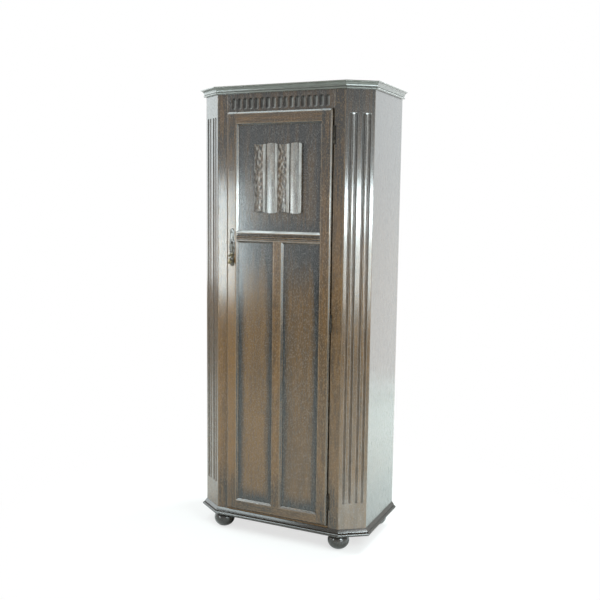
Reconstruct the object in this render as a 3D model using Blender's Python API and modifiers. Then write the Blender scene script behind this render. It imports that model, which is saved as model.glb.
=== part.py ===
"""
Single-door oak hall wardrobe with canted front corners, a linenfold door panel and bun feet.

Metres, +Z up. The front faces -Y, and the origin lies on the floor under the middle of the overall box.
"""
import math

import bmesh
import bpy
from mathutils import Matrix, Vector

# Clearance between pieces that touch, and the same clearance measured along a 45 degree scribed shoulder
SEAT = 0.0003
SCRIBE_GAP = SEAT * math.sqrt(2)

# Points of one mesh merge at this distance, and edges that bend less than this angle are smooth
MERGE = 0.00001
SMOOTH_BELOW = math.radians(35)

# Straight steps in a large round, a small round, a knob, a moulding's curve and a small quarter round
ROUND_STEPS = 24
SMALL_STEPS = 12
KNOB_STEPS = 16
PROFILE_STEPS = 6
EDGE_STEPS = 4

# Carcass
BODY_WIDTH = 0.716
BODY_DEPTH = 0.378
BODY_HEIGHT = 1.660
CANT_SPREAD = 0.090
CANT_SETBACK = 0.063
BOARD = 0.020
POST_WIDTH = 0.0445
FRIEZE_HEIGHT = 0.067
TOP_BOARD = 0.018
BASE_BOARD = 0.022
BACK_BOARD = 0.006
BACK_REBATE = 0.010

# Mouldings and feet
FLOOR_CLEARANCE = 0.060
PLINTH_HEIGHT = 0.029
PLINTH_REACH = 0.017
PLINTH_NOSE = 0.0055
PLINTH_QUIRK_IN = 0.0065
PLINTH_QUIRK_HEIGHT = 0.0185
PLINTH_BEAD = 0.0045
PLINTH_BEAD_IN = 0.002
CORNICE_HEIGHT = 0.028
CORNICE_REACH = 0.020
CORNICE_FILLET = 0.0042
CORNICE_COVE_IN = 0.008
CORNICE_QUIRK = 0.0012
CORNICE_BEAD = 0.0036
FOOT_RADIUS = 0.042
FOOT_TOP_RADIUS = 0.021
FOOT_BASE_RADIUS = 0.0095
FOOT_NECK = 0.006
FOOT_STEPS = 9
FRONT_FOOT_SIDE_INSET = 0.012
FRONT_FOOT_INSET = 0.034
BACK_FOOT_INSET = 0.050

# Carved flutes of the canted boards and of the frieze
CANT_FLUTE_RADIUS = 0.0055
CANT_FLUTE_DEPTH = 0.0045
CANT_FLUTE_INNER = 0.0138
CANT_FLUTE_OUTER = 0.0365
CANT_FLUTE_FOOT = 0.099
CANT_FLUTE_HEAD = 0.085
FRIEZE_FLUTES = 17
FRIEZE_MARGIN = 0.0275
FRIEZE_FLUTE_RADIUS = 0.0085
FRIEZE_FLUTE_DEPTH = 0.0045
FRIEZE_FLUTE_HEIGHT = 0.0425
FRIEZE_FLUTE_HEAD = 0.0175

# Door
DOOR_THICK = 0.022
DOOR_PROUD = 0.012
DOOR_FOOT_GAP = 0.008
DOOR_SILL_GAP = 0.003
DOOR_HEAD_GAP = 0.002
DOOR_ROUND = 0.007
STILE = 0.049
TOP_RAIL = 0.052
BOTTOM_RAIL = 0.046
MID_RAIL = 0.048
MID_RAIL_DROP = 0.452
MUNTIN = 0.050
CHAMFER = 0.008
LIP = 0.001
GROOVE = 0.006
PANEL = 0.008
PANEL_PLAY = 0.001
REEDS = 3
REED_WIDTH = 0.0075
REED_DEPTH = 0.0025
STOP_STRIP = 0.012

# Linenfold block on the upper panel
LINEN_WIDTH = 0.200
LINEN_HEIGHT = 0.264
LINEN_BASE = 0.003
LINEN_RISE = 0.0085
LINEN_FOLDS = 4
LINEN_STEPS = 10
LINEN_QUIRK = 0.25
LINEN_RIDGE = 0.65
LINEN_SHARPNESS = 3

# Butt hinges in the corner between the door's edge and the post
HINGE_LENGTH = 0.064
HINGE_INSET = 0.095
KNUCKLE_RADIUS = 0.004
PIN_RADIUS = 0.0016
PIN_HEAD_RADIUS = 0.003
PIN_HEAD = 0.002
BARREL_STEPS = 20
LEAF_THICK = 0.0013
LEAF_MARGIN = 0.001

# Lock behind the left stile
KEYHOLE_BELOW_RAIL_TOP = 0.047
KEYHOLE_RADIUS = 0.0027
KEYHOLE_SLOT = 0.0028
KEYHOLE_DROP = 0.008
LOCK_WIDTH = 0.040
LOCK_HEIGHT = 0.060
LOCK_THICK = 0.012
LOCK_SETBACK = 0.0012
BOLT_LENGTH = 0.026
BOLT_HEIGHT = 0.018
BOLT_THICK = 0.005
BOLT_INSET = 0.0045
BOLT_TRAVEL = 0.008
STRIKE_THICK = 0.0012
STRIKE_WIDTH = 0.0095
STRIKE_HEIGHT = 0.046

# Drop handle on the left stile
PLATE_HEIGHT = 0.149
PLATE_WIDTH = 0.025
PLATE_THICK = 0.002
PLATE_WAIST = 0.18
PLATE_SQUARENESS = 6
PLATE_STEPS = 20
PLATE_BELOW_KEYHOLE = 0.0195
SCREW_ABOVE_KEYHOLE = 0.0385
SCREW_BELOW_KEYHOLE = 0.0325
SCREW_RADIUS = 0.0026
SCREW_DOME = 0.0016
STUD_BELOW_KEYHOLE = 0.050
STUD_REACH = 0.016
STUD_FLANGE = 0.0065
STUD_FLANGE_THICK = 0.0015
STUD_NECK = 0.003
STUD_HEAD = 0.0045
YOKE_WIRE = 0.0013
YOKE_HALF_WIDTH = 0.0068
YOKE_DROP = 0.011
PEAR_RADIUS = 0.0085
PEAR_LENGTH = 0.035
PEAR_SWELL = 1.6
PEAR_STEPS = 12

# Inside fittings
HAT_SPACE = 0.265
SHELF = 0.016
BEARER_WIDTH = 0.018
BEARER_HEIGHT = 0.025
RAIL_RADIUS = 0.011
RAIL_DROP = 0.045
BRACKET_WALL = 0.006
BRACKET_THICK = 0.012
BRACKET_INSET = 0.025

# Heights and depths worked out from the sizes above
PLINTH_TOP = FLOOR_CLEARANCE + PLINTH_HEIGHT
CORNICE_LOW = PLINTH_TOP + BODY_HEIGHT
FRIEZE_LOW = CORNICE_LOW - FRIEZE_HEIGHT
DOOR_LOW = PLINTH_TOP + DOOR_FOOT_GAP
DOOR_HIGH = FRIEZE_LOW - DOOR_HEAD_GAP
SILL = DOOR_LOW - DOOR_SILL_GAP
BASE_LOW = SILL - BASE_BOARD
MID_RAIL_HIGH = DOOR_HIGH - MID_RAIL_DROP
MID_RAIL_LOW = MID_RAIL_HIGH - MID_RAIL
KEYHOLE_Z = MID_RAIL_HIGH - KEYHOLE_BELOW_RAIL_TOP
SHELF_HIGH = CORNICE_LOW - HAT_SPACE
SHELF_LOW = SHELF_HIGH - SHELF

HANDLE_REACH = PLATE_THICK + STUD_REACH + PEAR_RADIUS
FRONT_REACH = max(DOOR_PROUD + HANDLE_REACH, CORNICE_REACH, PLINTH_REACH)
BACK_Y = (BODY_DEPTH + FRONT_REACH) / 2
FRONT_Y = BACK_Y - BODY_DEPTH
BACK_BOARD_Y = BACK_Y - BACK_BOARD
DOOR_FRONT_Y = FRONT_Y - DOOR_PROUD
DOOR_BACK_Y = DOOR_FRONT_Y + DOOR_THICK
PANEL_Y = DOOR_FRONT_Y + CHAMFER + LIP + SEAT

FRONT_WIDTH = BODY_WIDTH - 2 * CANT_SPREAD
OPENING_HALF = FRONT_WIDTH / 2 - POST_WIDTH
DOOR_HALF = OPENING_HALF - 2 * LEAF_THICK - 3 * SEAT
SIGHT_HALF = DOOR_HALF - STILE
STILE_X = -DOOR_HALF + STILE / 2
DOOR_LEAF = DOOR_THICK - DOOR_PROUD - LEAF_MARGIN
POST_LEAF = BOARD - LEAF_MARGIN
HINGE_X = DOOR_HALF + SEAT + KNUCKLE_RADIUS
HINGE_Y = FRONT_Y - SEAT - KNUCKLE_RADIUS
DROP_Y = DOOR_FRONT_Y - PLATE_THICK - STUD_REACH
DROP_Z = KEYHOLE_Z - STUD_BELOW_KEYHOLE

# Plan of the carcass from the left back corner round the front to the right back corner
PLAN = [
    Vector((-BODY_WIDTH / 2, BACK_Y)),
    Vector((-BODY_WIDTH / 2, FRONT_Y + CANT_SETBACK)),
    Vector((-FRONT_WIDTH / 2, FRONT_Y)),
    Vector((FRONT_WIDTH / 2, FRONT_Y)),
    Vector((BODY_WIDTH / 2, FRONT_Y + CANT_SETBACK)),
    Vector((BODY_WIDTH / 2, BACK_Y)),
]
RUNS = ["left_side", "left_cant", "front", "right_cant", "right_side"]

# A length drawn out along Z is laid along X, with its outline's X to the back and its outline's Y up
ALONG_X = Matrix(((0, 0, 1), (1, 0, 0), (0, 1, 0))).to_euler()
# A length drawn out along Z is laid along Y, with its outline's X to the right and its outline's Y up
ALONG_Y = Matrix(((1, 0, 0), (0, 0, -1), (0, 1, 0))).to_euler()
# A piece turned about Z lies with its top to the front
TO_FRONT = ALONG_Y


def start_scene():
    """Empties the scene and makes one collection for the parts and one for their cutters."""
    for old in list(bpy.data.objects):
        bpy.data.objects.remove(old)
    made = []
    for name in ("wardrobe", "wardrobe_cutters"):
        collection = bpy.data.collections.new(name)
        bpy.context.scene.collection.children.link(collection)
        made.append(collection)
    return made


PARTS, CUTTERS = start_scene()


def finish(name, colour, roughness, metallic=0.0):
    """Makes one plain material."""
    made = bpy.data.materials.new(name)
    made.use_nodes = True
    shader = made.node_tree.nodes["Principled BSDF"]
    shader.inputs["Base Color"].default_value = (*colour, 1.0)
    shader.inputs["Roughness"].default_value = roughness
    shader.inputs["Metallic"].default_value = metallic
    return made


STAINED_OAK = finish("stained_oak", (0.060, 0.034, 0.018), 0.32)
PANEL_OAK = finish("panel_oak", (0.085, 0.048, 0.024), 0.30)
INNER_OAK = finish("inner_oak", (0.300, 0.190, 0.100), 0.60)
PLYWOOD = finish("plywood", (0.330, 0.230, 0.140), 0.70)
OLD_BRASS = finish("old_brass", (0.180, 0.120, 0.060), 0.42, 1.0)
STEEL = finish("steel", (0.420, 0.410, 0.400), 0.38, 1.0)


def axis_empty(name, place, parent=None):
    """Makes an empty that carries one rigid group of pieces."""
    empty = bpy.data.objects.new(name, None)
    PARTS.objects.link(empty)
    empty["place"] = place
    empty.parent = parent
    empty.location = Vector(place) - (Vector(parent["place"]) if parent else Vector())
    return empty


CARCASS = axis_empty("carcass_frame", (0, 0, 0))
DOOR = axis_empty("door_axis", (HINGE_X, HINGE_Y, 0), CARCASS)
DROP = axis_empty("drop_axis", (STILE_X, DROP_Y, DROP_Z), DOOR)


def add_part(name, mesh, material, parent, place, turn=(0, 0, 0)):
    """Puts a mesh into the model as a named piece."""
    part = bpy.data.objects.new(name, mesh)
    PARTS.objects.link(part)
    mesh.materials.clear()
    mesh.materials.append(material)
    part.parent = parent
    part.location = Vector(place) - Vector(parent["place"])
    part.rotation_euler = turn
    return part


def add_cutter(mesh, place, turn=(0, 0, 0)):
    """Puts a mesh among the cutters, which only remove wood or metal."""
    cutter = bpy.data.objects.new("cutter", mesh)
    CUTTERS.objects.link(cutter)
    cutter.location = place
    cutter.rotation_euler = turn
    cutter.hide_render = True
    cutter.display_type = "WIRE"
    return cutter


def combine(part, other, operation):
    """Cuts one piece with another, or joins the two."""
    step = part.modifiers.new(operation.lower(), "BOOLEAN")
    step.operation = operation
    step.object = other
    step.solver = "EXACT"


def finish_bmesh(shape, name, smooth=False):
    """Turns a bmesh into a mesh whose faces point outwards."""
    bmesh.ops.remove_doubles(shape, verts=shape.verts, dist=MERGE)
    bmesh.ops.recalc_face_normals(shape, faces=shape.faces)
    mesh = bpy.data.meshes.new(name)
    shape.to_mesh(mesh)
    shape.free()
    if smooth:
        mesh.shade_smooth()
        mesh.set_sharp_from_angle(angle=SMOOTH_BELOW)
    return mesh


def block(name, size):
    """Mesh of a box about the origin."""
    shape = bmesh.new()
    bmesh.ops.create_cube(shape, size=1.0)
    bmesh.ops.scale(shape, vec=size, verts=shape.verts)
    return finish_bmesh(shape, name)


def box_between(name, low, high, material, parent):
    """Adds a rectangular piece between two opposite corners."""
    low = Vector(low)
    high = Vector(high)
    return add_part(name, block(name, high - low), material, parent, (low + high) / 2)


def drawn(name, loops, length, start_reach=None, end_reach=None, fold=None, smooth=False):
    """
    Mesh of a flat outline, with any holes, drawn out along Z for a length about the origin.

    The two reach functions give how much further each end goes at an outline point, which makes it scribed
    or mitred. A scribed end bends along the line through the fold point, square to it.
    """
    curve = bpy.data.curves.new(name, "CURVE")
    curve.dimensions = "2D"
    curve.fill_mode = "BOTH"
    curve.extrude = length / 2
    for loop in loops:
        spline = curve.splines.new("POLY")
        spline.points.add(len(loop) - 1)
        spline.use_cyclic_u = True
        for point, (x, y) in zip(spline.points, loop):
            point.co = (x, y, 0, 1)
    outline = bpy.data.objects.new(name, curve)
    CUTTERS.objects.link(outline)
    graph = bpy.context.evaluated_depsgraph_get()
    flat = bpy.data.meshes.new_from_object(outline.evaluated_get(graph))
    bpy.data.objects.remove(outline)
    bpy.data.curves.remove(curve)
    shape = bmesh.new()
    shape.from_mesh(flat)
    bpy.data.meshes.remove(flat)
    if fold:
        bmesh.ops.remove_doubles(shape, verts=shape.verts, dist=MERGE)
        whole = shape.verts[:] + shape.edges[:] + shape.faces[:]
        bmesh.ops.bisect_plane(shape, geom=whole, plane_co=fold, plane_no=fold)
    for vertex in shape.verts:
        x, y, z = vertex.co
        if z > 0 and end_reach:
            vertex.co.z += end_reach(x, y)
        if z < 0 and start_reach:
            vertex.co.z -= start_reach(x, y)
    return finish_bmesh(shape, name, smooth)


def turned(name, profile, steps):
    """Mesh of a profile of radius and height, listed from top to bottom, turned about Z."""
    line = bpy.data.meshes.new(name + "_profile")
    edges = [(index, index + 1) for index in range(len(profile) - 1)]
    line.from_pydata([(radius, 0, height) for radius, height in profile], edges, [])
    spun = bpy.data.objects.new(name, line)
    CUTTERS.objects.link(spun)
    screw = spun.modifiers.new("turn", "SCREW")
    screw.steps = steps
    screw.render_steps = steps
    screw.use_merge_vertices = True
    screw.merge_threshold = MERGE
    graph = bpy.context.evaluated_depsgraph_get()
    mesh = bpy.data.meshes.new_from_object(spun.evaluated_get(graph))
    bpy.data.objects.remove(spun)
    bpy.data.meshes.remove(line)
    shape = bmesh.new()
    shape.from_mesh(mesh)
    bpy.data.meshes.remove(mesh)
    return finish_bmesh(shape, name, smooth=True)


def arc(centre, radius, first, last, steps):
    """Points of an arc between two angles in degrees."""
    points = []
    for step in range(steps + 1):
        angle = math.radians(first + (last - first) * step / steps)
        points.append((centre[0] + radius * math.cos(angle), centre[1] + radius * math.sin(angle)))
    return points


def circle(radius, steps):
    """Points of a full circle about the origin."""
    return arc((0, 0), radius, 0, 360, steps)[:-1]


def quarter_ellipse(centre, run, rise, first, last):
    """Points of a quarter of an ellipse between two angles in degrees."""
    unit = arc((0, 0), 1.0, first, last, PROFILE_STEPS)
    return [(centre[0] + run * x, centre[1] + rise * y) for x, y in unit]


def rectangle(width, height):
    """Corners of a rectangle about the origin."""
    x = width / 2
    y = height / 2
    return [(-x, -y), (x, -y), (x, y), (-x, y)]


def moved_in(path, distance):
    """Moves an open plan path to its inner side, with mitred corners."""
    moved = []
    for index, point in enumerate(path):
        normals = []
        for first, second in ((index - 1, index), (index, index + 1)):
            if first >= 0 and second < len(path):
                along = (path[second] - path[first]).normalized()
                normals.append(Vector((-along.y, along.x)))
        mitre = sum(normals, Vector((0, 0))).normalized()
        moved.append(point + mitre * distance / mitre.dot(normals[0]))
    return moved


INNER_PLAN = moved_in(PLAN, BOARD)
FITTED_PLAN = moved_in(PLAN, BOARD + SEAT)


def upright(name, outline, low, high, material):
    """Adds a board of one plan outline between two heights."""
    mesh = drawn(name, [outline], high - low)
    return add_part(name, mesh, material, CARCASS, (0, 0, (low + high) / 2))


def mitred_ends(run):
    """Outer and inner plan corners of one run, drawn back from its mitres by half a clearance."""
    along = (PLAN[run + 1] - PLAN[run]).normalized() * SEAT / 2
    outer = [PLAN[run] + along, PLAN[run + 1] - along]
    inner = [INNER_PLAN[run] + along, INNER_PLAN[run + 1] - along]
    return outer, inner


def capsule(radius, length):
    """Mesh of a round-ended gouge cut, standing along Z."""
    straight = length / 2 - radius
    top = [(x, straight + y) for x, y in arc((0, 0), radius, 90, 0, EDGE_STEPS)]
    bottom = [(x, -y) for x, y in reversed(top)]
    profile = top + bottom
    profile[0] = (0, length / 2)
    profile[-1] = (0, -length / 2)
    return turned("gouge", profile, SMALL_STEPS)


def gouge_board(board, places, outward, radius, depth, low, high):
    """Cuts upright round-ended flutes into a board's face at the given plan points."""
    stand_off = Vector(outward) * (radius - depth)
    for place in places:
        centre = Vector(place) + stand_off
        mesh = capsule(radius, high - low)
        combine(board, add_cutter(mesh, (centre.x, centre.y, (low + high) / 2)), "DIFFERENCE")


def build_carcass_boards():
    """Side boards, fluted cants, posts, frieze rail, top, base and back."""
    top = CORNICE_LOW - SEAT
    rebate_x = BODY_WIDTH / 2 - BOARD + BACK_REBATE
    rebate_y = BACK_BOARD_Y - SEAT
    side_x = BODY_WIDTH / 2 - BOARD
    for side, run, front in ((-1, 0, 1), (1, 4, 0)):
        outer, inner = mitred_ends(run)
        outline = [
            outer[front],
            Vector((side * BODY_WIDTH / 2, BACK_Y)),
            Vector((side * rebate_x, BACK_Y)),
            Vector((side * rebate_x, rebate_y)),
            Vector((side * side_x, rebate_y)),
            inner[front],
        ]
        upright(RUNS[run] + "_panel", outline, BASE_LOW, top, STAINED_OAK)

    for run in (1, 3):
        outer, inner = mitred_ends(run)
        board = upright(RUNS[run] + "_pilaster", outer + inner[::-1], BASE_LOW, top, STAINED_OAK)
        middle = (PLAN[run] + PLAN[run + 1]) / 2
        along = (PLAN[run + 1] - PLAN[run]).normalized()
        steps = (-CANT_FLUTE_OUTER, -CANT_FLUTE_INNER, CANT_FLUTE_INNER, CANT_FLUTE_OUTER)
        places = [middle + along * step for step in steps]
        gouge_board(
            board, places, (along.y, -along.x), CANT_FLUTE_RADIUS, CANT_FLUTE_DEPTH,
            PLINTH_TOP + CANT_FLUTE_FOOT, CORNICE_LOW - CANT_FLUTE_HEAD,
        )

    outer, inner = mitred_ends(2)
    for side, name in ((-1, "left"), (1, "right")):
        end = 0 if side < 0 else 1
        edge = side * OPENING_HALF
        outline = [outer[end], Vector((edge, FRONT_Y)), Vector((edge, FRONT_Y + BOARD)), inner[end]]
        upright(name + "_front_post", outline, BASE_LOW, top, STAINED_OAK)

    frieze = box_between(
        "frieze_rail", (-OPENING_HALF + SEAT, FRONT_Y, FRIEZE_LOW),
        (OPENING_HALF - SEAT, FRONT_Y + BOARD, top), STAINED_OAK, CARCASS,
    )
    first = -OPENING_HALF + FRIEZE_MARGIN
    pitch = -2 * first / (FRIEZE_FLUTES - 1)
    places = [(first + pitch * index, FRONT_Y) for index in range(FRIEZE_FLUTES)]
    flute_high = CORNICE_LOW - FRIEZE_FLUTE_HEAD
    gouge_board(
        frieze, places, (0, -1), FRIEZE_FLUTE_RADIUS, FRIEZE_FLUTE_DEPTH,
        flute_high - FRIEZE_FLUTE_HEIGHT, flute_high,
    )

    upright("top_board", PLAN, CORNICE_LOW, CORNICE_LOW + TOP_BOARD, STAINED_OAK)

    tongue_x = OPENING_HALF - SEAT
    tongue_y = FRONT_Y + BOARD + SEAT
    back_y = BACK_BOARD_Y - SEAT
    base = [
        Vector((FITTED_PLAN[0].x, back_y)), FITTED_PLAN[1], FITTED_PLAN[2],
        Vector((-tongue_x, tongue_y)), Vector((-tongue_x, FRONT_Y)),
        Vector((tongue_x, FRONT_Y)), Vector((tongue_x, tongue_y)),
        FITTED_PLAN[3], FITTED_PLAN[4], Vector((FITTED_PLAN[5].x, back_y)),
    ]
    upright("base_board", base, BASE_LOW, SILL, INNER_OAK)

    back_x = rebate_x - SEAT
    box_between("back_panel", (-back_x, BACK_BOARD_Y, BASE_LOW), (back_x, BACK_Y, top), PLYWOOD, CARCASS)

    stop_x = OPENING_HALF - STOP_STRIP
    box_between(
        "door_stop", (-stop_x, DOOR_BACK_Y + SEAT, FRIEZE_LOW - STOP_STRIP),
        (stop_x, FRONT_Y + BOARD, FRIEZE_LOW - SEAT), INNER_OAK, CARCASS,
    )


def moulding_run(name, profile, run, low, reach):
    """Adds one mitred length of a moulding, whose profile gives reach and height, along a run of the plan."""
    start = PLAN[run]
    end = PLAN[run + 1]
    along = (end - start).normalized()
    outward = Vector((along.y, -along.x))
    wide = moved_in(PLAN, -reach)
    start_slope = (start - wide[run]).dot(along) / reach
    end_slope = (wide[run + 1] - end).dot(along) / reach
    length = (end - start).length - SEAT

    def reach_at_end(out, up):
        return out * end_slope

    def reach_at_start(out, up):
        return out * start_slope

    mesh = drawn(name, [profile], length, reach_at_end, reach_at_start, smooth=True)
    middle = (start + end) / 2
    # The outline's X points outwards and its Y up, so the length is drawn from the run's end to its start
    turn = Matrix(((outward.x, 0, -along.x), (outward.y, 0, -along.y), (0, 1, 0)))
    add_part(name, mesh, STAINED_OAK, CARCASS, (middle.x, middle.y, low), turn.to_euler())


def cornice_profile():
    """Top fillet, deep cove, quirk and a bead, as reach and height points round the outline."""
    cove_foot = 2 * CORNICE_BEAD + CORNICE_QUIRK
    cove_run = CORNICE_REACH - CORNICE_COVE_IN
    cove_rise = CORNICE_HEIGHT - CORNICE_FILLET - cove_foot
    cove = quarter_ellipse((CORNICE_REACH, cove_foot), cove_run, cove_rise, 90, 180)
    bead = arc((CORNICE_COVE_IN - CORNICE_BEAD / 2, CORNICE_BEAD), CORNICE_BEAD, 90, -90, PROFILE_STEPS)
    top = [(SEAT, 0), (SEAT, CORNICE_HEIGHT), (CORNICE_REACH, CORNICE_HEIGHT)]
    return top + cove + [(CORNICE_COVE_IN - CORNICE_BEAD, cove_foot)] + bead


def plinth_profile():
    """A round nose, a cove above it, a quirk and a small top bead, as reach and height points."""
    nose_in = PLINTH_REACH - PLINTH_NOSE
    nose = arc((nose_in, PLINTH_NOSE), PLINTH_NOSE, -90, 90, PROFILE_STEPS)
    cove_run = nose_in - PLINTH_QUIRK_IN
    cove_rise = PLINTH_QUIRK_HEIGHT - 2 * PLINTH_NOSE
    cove = quarter_ellipse((nose_in, PLINTH_QUIRK_HEIGHT), cove_run, cove_rise, 270, 180)
    bead_centre = (PLINTH_BEAD_IN, PLINTH_HEIGHT - PLINTH_BEAD)
    bead = arc(bead_centre, PLINTH_BEAD, -60, 90, PROFILE_STEPS)
    return [(SEAT, 0)] + nose + cove[1:] + bead + [(SEAT, PLINTH_HEIGHT)]


def build_mouldings():
    """Cornice and plinth, each in five mitred lengths."""
    for run, name in enumerate(RUNS):
        moulding_run("cornice_" + name, cornice_profile(), run, CORNICE_LOW, CORNICE_REACH)
        moulding_run("plinth_" + name, plinth_profile(), run, FLOOR_CLEARANCE, PLINTH_REACH)


def foot_profile():
    """A swelling belly under a short neck, as radius and height from the top down."""
    top = BASE_LOW - SEAT
    belly = top - FOOT_NECK
    high = math.acos(FOOT_TOP_RADIUS / FOOT_RADIUS)
    low = math.acos(FOOT_BASE_RADIUS / FOOT_RADIUS)
    half_height = belly / (math.sin(high) + math.sin(low))
    middle = half_height * math.sin(low)
    curve = arc((0, 0), 1.0, math.degrees(high), -math.degrees(low), FOOT_STEPS)
    swell = [(FOOT_RADIUS * x, middle + half_height * y) for x, y in curve]
    swell[-1] = (FOOT_BASE_RADIUS, 0)
    return [(0, top), (FOOT_TOP_RADIUS, top)] + swell + [(0, 0)]


def build_feet():
    """Four turned bun feet under the base."""
    front = ("front", FRONT_WIDTH / 2 - FRONT_FOOT_SIDE_INSET, FRONT_Y + FRONT_FOOT_INSET)
    back = ("back", BODY_WIDTH / 2 - BACK_FOOT_INSET, BACK_Y - BACK_FOOT_INSET)
    for side, name in ((-1, "left"), (1, "right")):
        for end, x, y in (front, back):
            label = "bun_foot_%s_%s" % (end, name)
            mesh = turned(label, foot_profile(), ROUND_STEPS)
            add_part(label, mesh, STAINED_OAK, CARCASS, (side * x, y, 0))


def over_chamfer(depth):
    """How far a scribed end reaches over its neighbour's chamfer at a depth below the door's face."""
    return max(0.0, CHAMFER - depth)


def grooved_edge(width):
    """Chamfer, lip and panel groove of a sight edge at a width, from face to back, as across and depth."""
    floor = width - math.copysign(GROOVE, width)
    near = CHAMFER + LIP
    far = near + PANEL + 2 * SEAT
    return [
        (width - math.copysign(CHAMFER, width), 0), (width, CHAMFER), (width, near), (floor, near),
        (floor, far), (width, far), (width, DOOR_THICK),
    ]


def outer_member(width):
    """Outline of a stile or outer rail, as across and depth, with its rounded outer edge at across zero."""
    rounded = arc((DOOR_ROUND, DOOR_ROUND), DOOR_ROUND, 180, 270, EDGE_STEPS)
    return [(0, DOOR_THICK)] + rounded + grooved_edge(width)


def inner_member(width):
    """Outline of a member with a sight edge on both sides, as across and depth about its middle."""
    right = grooved_edge(width / 2)
    left = [(-x, y) for x, y in reversed(right)]
    return left + right


def reeded_member(width):
    """The moulded middle rail's outline: an inner member with a row of reeds sunk in its face."""
    outline = inner_member(width)
    half = REEDS * REED_WIDTH / 2
    reeds = []
    for step in range(REEDS * PROFILE_STEPS + 1):
        turn = step / PROFILE_STEPS
        reeds.append((-half + REED_WIDTH * turn, REED_DEPTH * (1 - abs(math.sin(math.pi * turn)))))
    reeds = [(-half, 0)] + reeds + [(half, 0)]
    middle = len(outline) // 2
    return outline[:middle] + reeds + outline[middle:]


def door_upright(name, outline, mirror, x, low, high, scribed=False):
    """Adds a stile or muntin from its across and depth outline."""
    loop = [(mirror * across, depth) for across, depth in outline]
    reach = (lambda across, depth: over_chamfer(depth)) if scribed else None
    fold = (0, CHAMFER, 0) if scribed else None
    mesh = drawn(name, [loop], high - low, reach, reach, fold)
    return add_part(name, mesh, STAINED_OAK, DOOR, (x, DOOR_FRONT_Y, (low + high) / 2))


def door_rail(name, outline, mirror, z):
    """Adds a rail from its across and depth outline, scribed over the stiles' chamfers."""
    loop = [(depth, mirror * across) for across, depth in outline]
    length = 2 * (SIGHT_HALF - SCRIBE_GAP)

    def reach(depth, across):
        return over_chamfer(depth)

    mesh = drawn(name, [loop], length, reach, reach, fold=(CHAMFER, 0, 0))
    return add_part(name, mesh, STAINED_OAK, DOOR, (0, DOOR_FRONT_Y, z), ALONG_X)


def build_door_frame():
    """Stiles, rails and muntin, with grooves for the panels."""
    stiles = []
    for side, name in ((1, "left_stile"), (-1, "right_stile")):
        stiles.append(door_upright(name, outer_member(STILE), side, -side * DOOR_HALF, DOOR_LOW, DOOR_HIGH))
    door_rail("top_rail", outer_member(TOP_RAIL), -1, DOOR_HIGH)
    door_rail("mid_rail", reeded_member(MID_RAIL), 1, (MID_RAIL_LOW + MID_RAIL_HIGH) / 2)
    door_rail("bottom_rail", outer_member(BOTTOM_RAIL), 1, DOOR_LOW)
    low = DOOR_LOW + BOTTOM_RAIL + SCRIBE_GAP
    door_upright("muntin", inner_member(MUNTIN), 1, 0, low, MID_RAIL_LOW - SCRIBE_GAP, scribed=True)
    hole = drawn("keyhole", [keyhole()], 3 * DOOR_THICK)
    combine(stiles[0], add_cutter(hole, (STILE_X, DOOR_FRONT_Y, KEYHOLE_Z), ALONG_Y), "DIFFERENCE")


def build_door_panels():
    """Upper panel and two lower panels, held loosely in the grooves."""
    held = GROOVE - PANEL_PLAY
    upper_low = MID_RAIL_HIGH - held
    upper_high = DOOR_HIGH - TOP_RAIL + held
    lower_low = DOOR_LOW + BOTTOM_RAIL - held
    lower_high = MID_RAIL_LOW + held
    outside = SIGHT_HALF + held
    inside = MUNTIN / 2 - held
    for name, left, right, low, high in (
        ("upper_panel", -outside, outside, upper_low, upper_high),
        ("lower_left_panel", -outside, -inside, lower_low, lower_high),
        ("lower_right_panel", inside, outside, lower_low, lower_high),
    ):
        box_between(name, (left, PANEL_Y, low), (right, PANEL_Y + PANEL, high), PANEL_OAK, DOOR)


def linen_height(fold, within):
    """Height of a fold above the block's base: hollow folds with sharp ridges and round folds by turns."""
    if fold % 2:
        return LINEN_RISE * (LINEN_QUIRK + (1 - LINEN_QUIRK) * math.sin(math.pi * within))
    ridge = abs(2 * within - 1) ** LINEN_SHARPNESS
    return LINEN_RISE * (LINEN_QUIRK + LINEN_RIDGE * ridge)


def build_linenfold():
    """Carved block planted on the middle of the upper panel."""
    width = LINEN_WIDTH / LINEN_FOLDS
    outline = [(LINEN_WIDTH / 2, 0), (-LINEN_WIDTH / 2, 0)]
    for fold in range(LINEN_FOLDS):
        for step in range(LINEN_STEPS + 1):
            within = step / LINEN_STEPS
            across = -LINEN_WIDTH / 2 + width * (fold + within)
            outline.append((across, -LINEN_BASE - linen_height(fold, within)))
    mesh = drawn("linenfold", [outline], LINEN_HEIGHT, smooth=True)
    middle = (MID_RAIL_HIGH + DOOR_HIGH - TOP_RAIL) / 2
    add_part("linenfold", mesh, PANEL_OAK, DOOR, (0, PANEL_Y - SEAT, middle))


def leaf_section(near, far, depth):
    """Plan outline of a hinge leaf rolled round the pin, between two faces of its plate left of the pin."""
    first = math.degrees(math.acos(near / KNUCKLE_RADIUS))
    last = math.degrees(math.acos(far / KNUCKLE_RADIUS)) + 360
    barrel = arc((0, 0), KNUCKLE_RADIUS, first, last, BARREL_STEPS)
    end = KNUCKLE_RADIUS + SEAT + depth
    return [(far, end), (near, end)] + barrel


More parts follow.
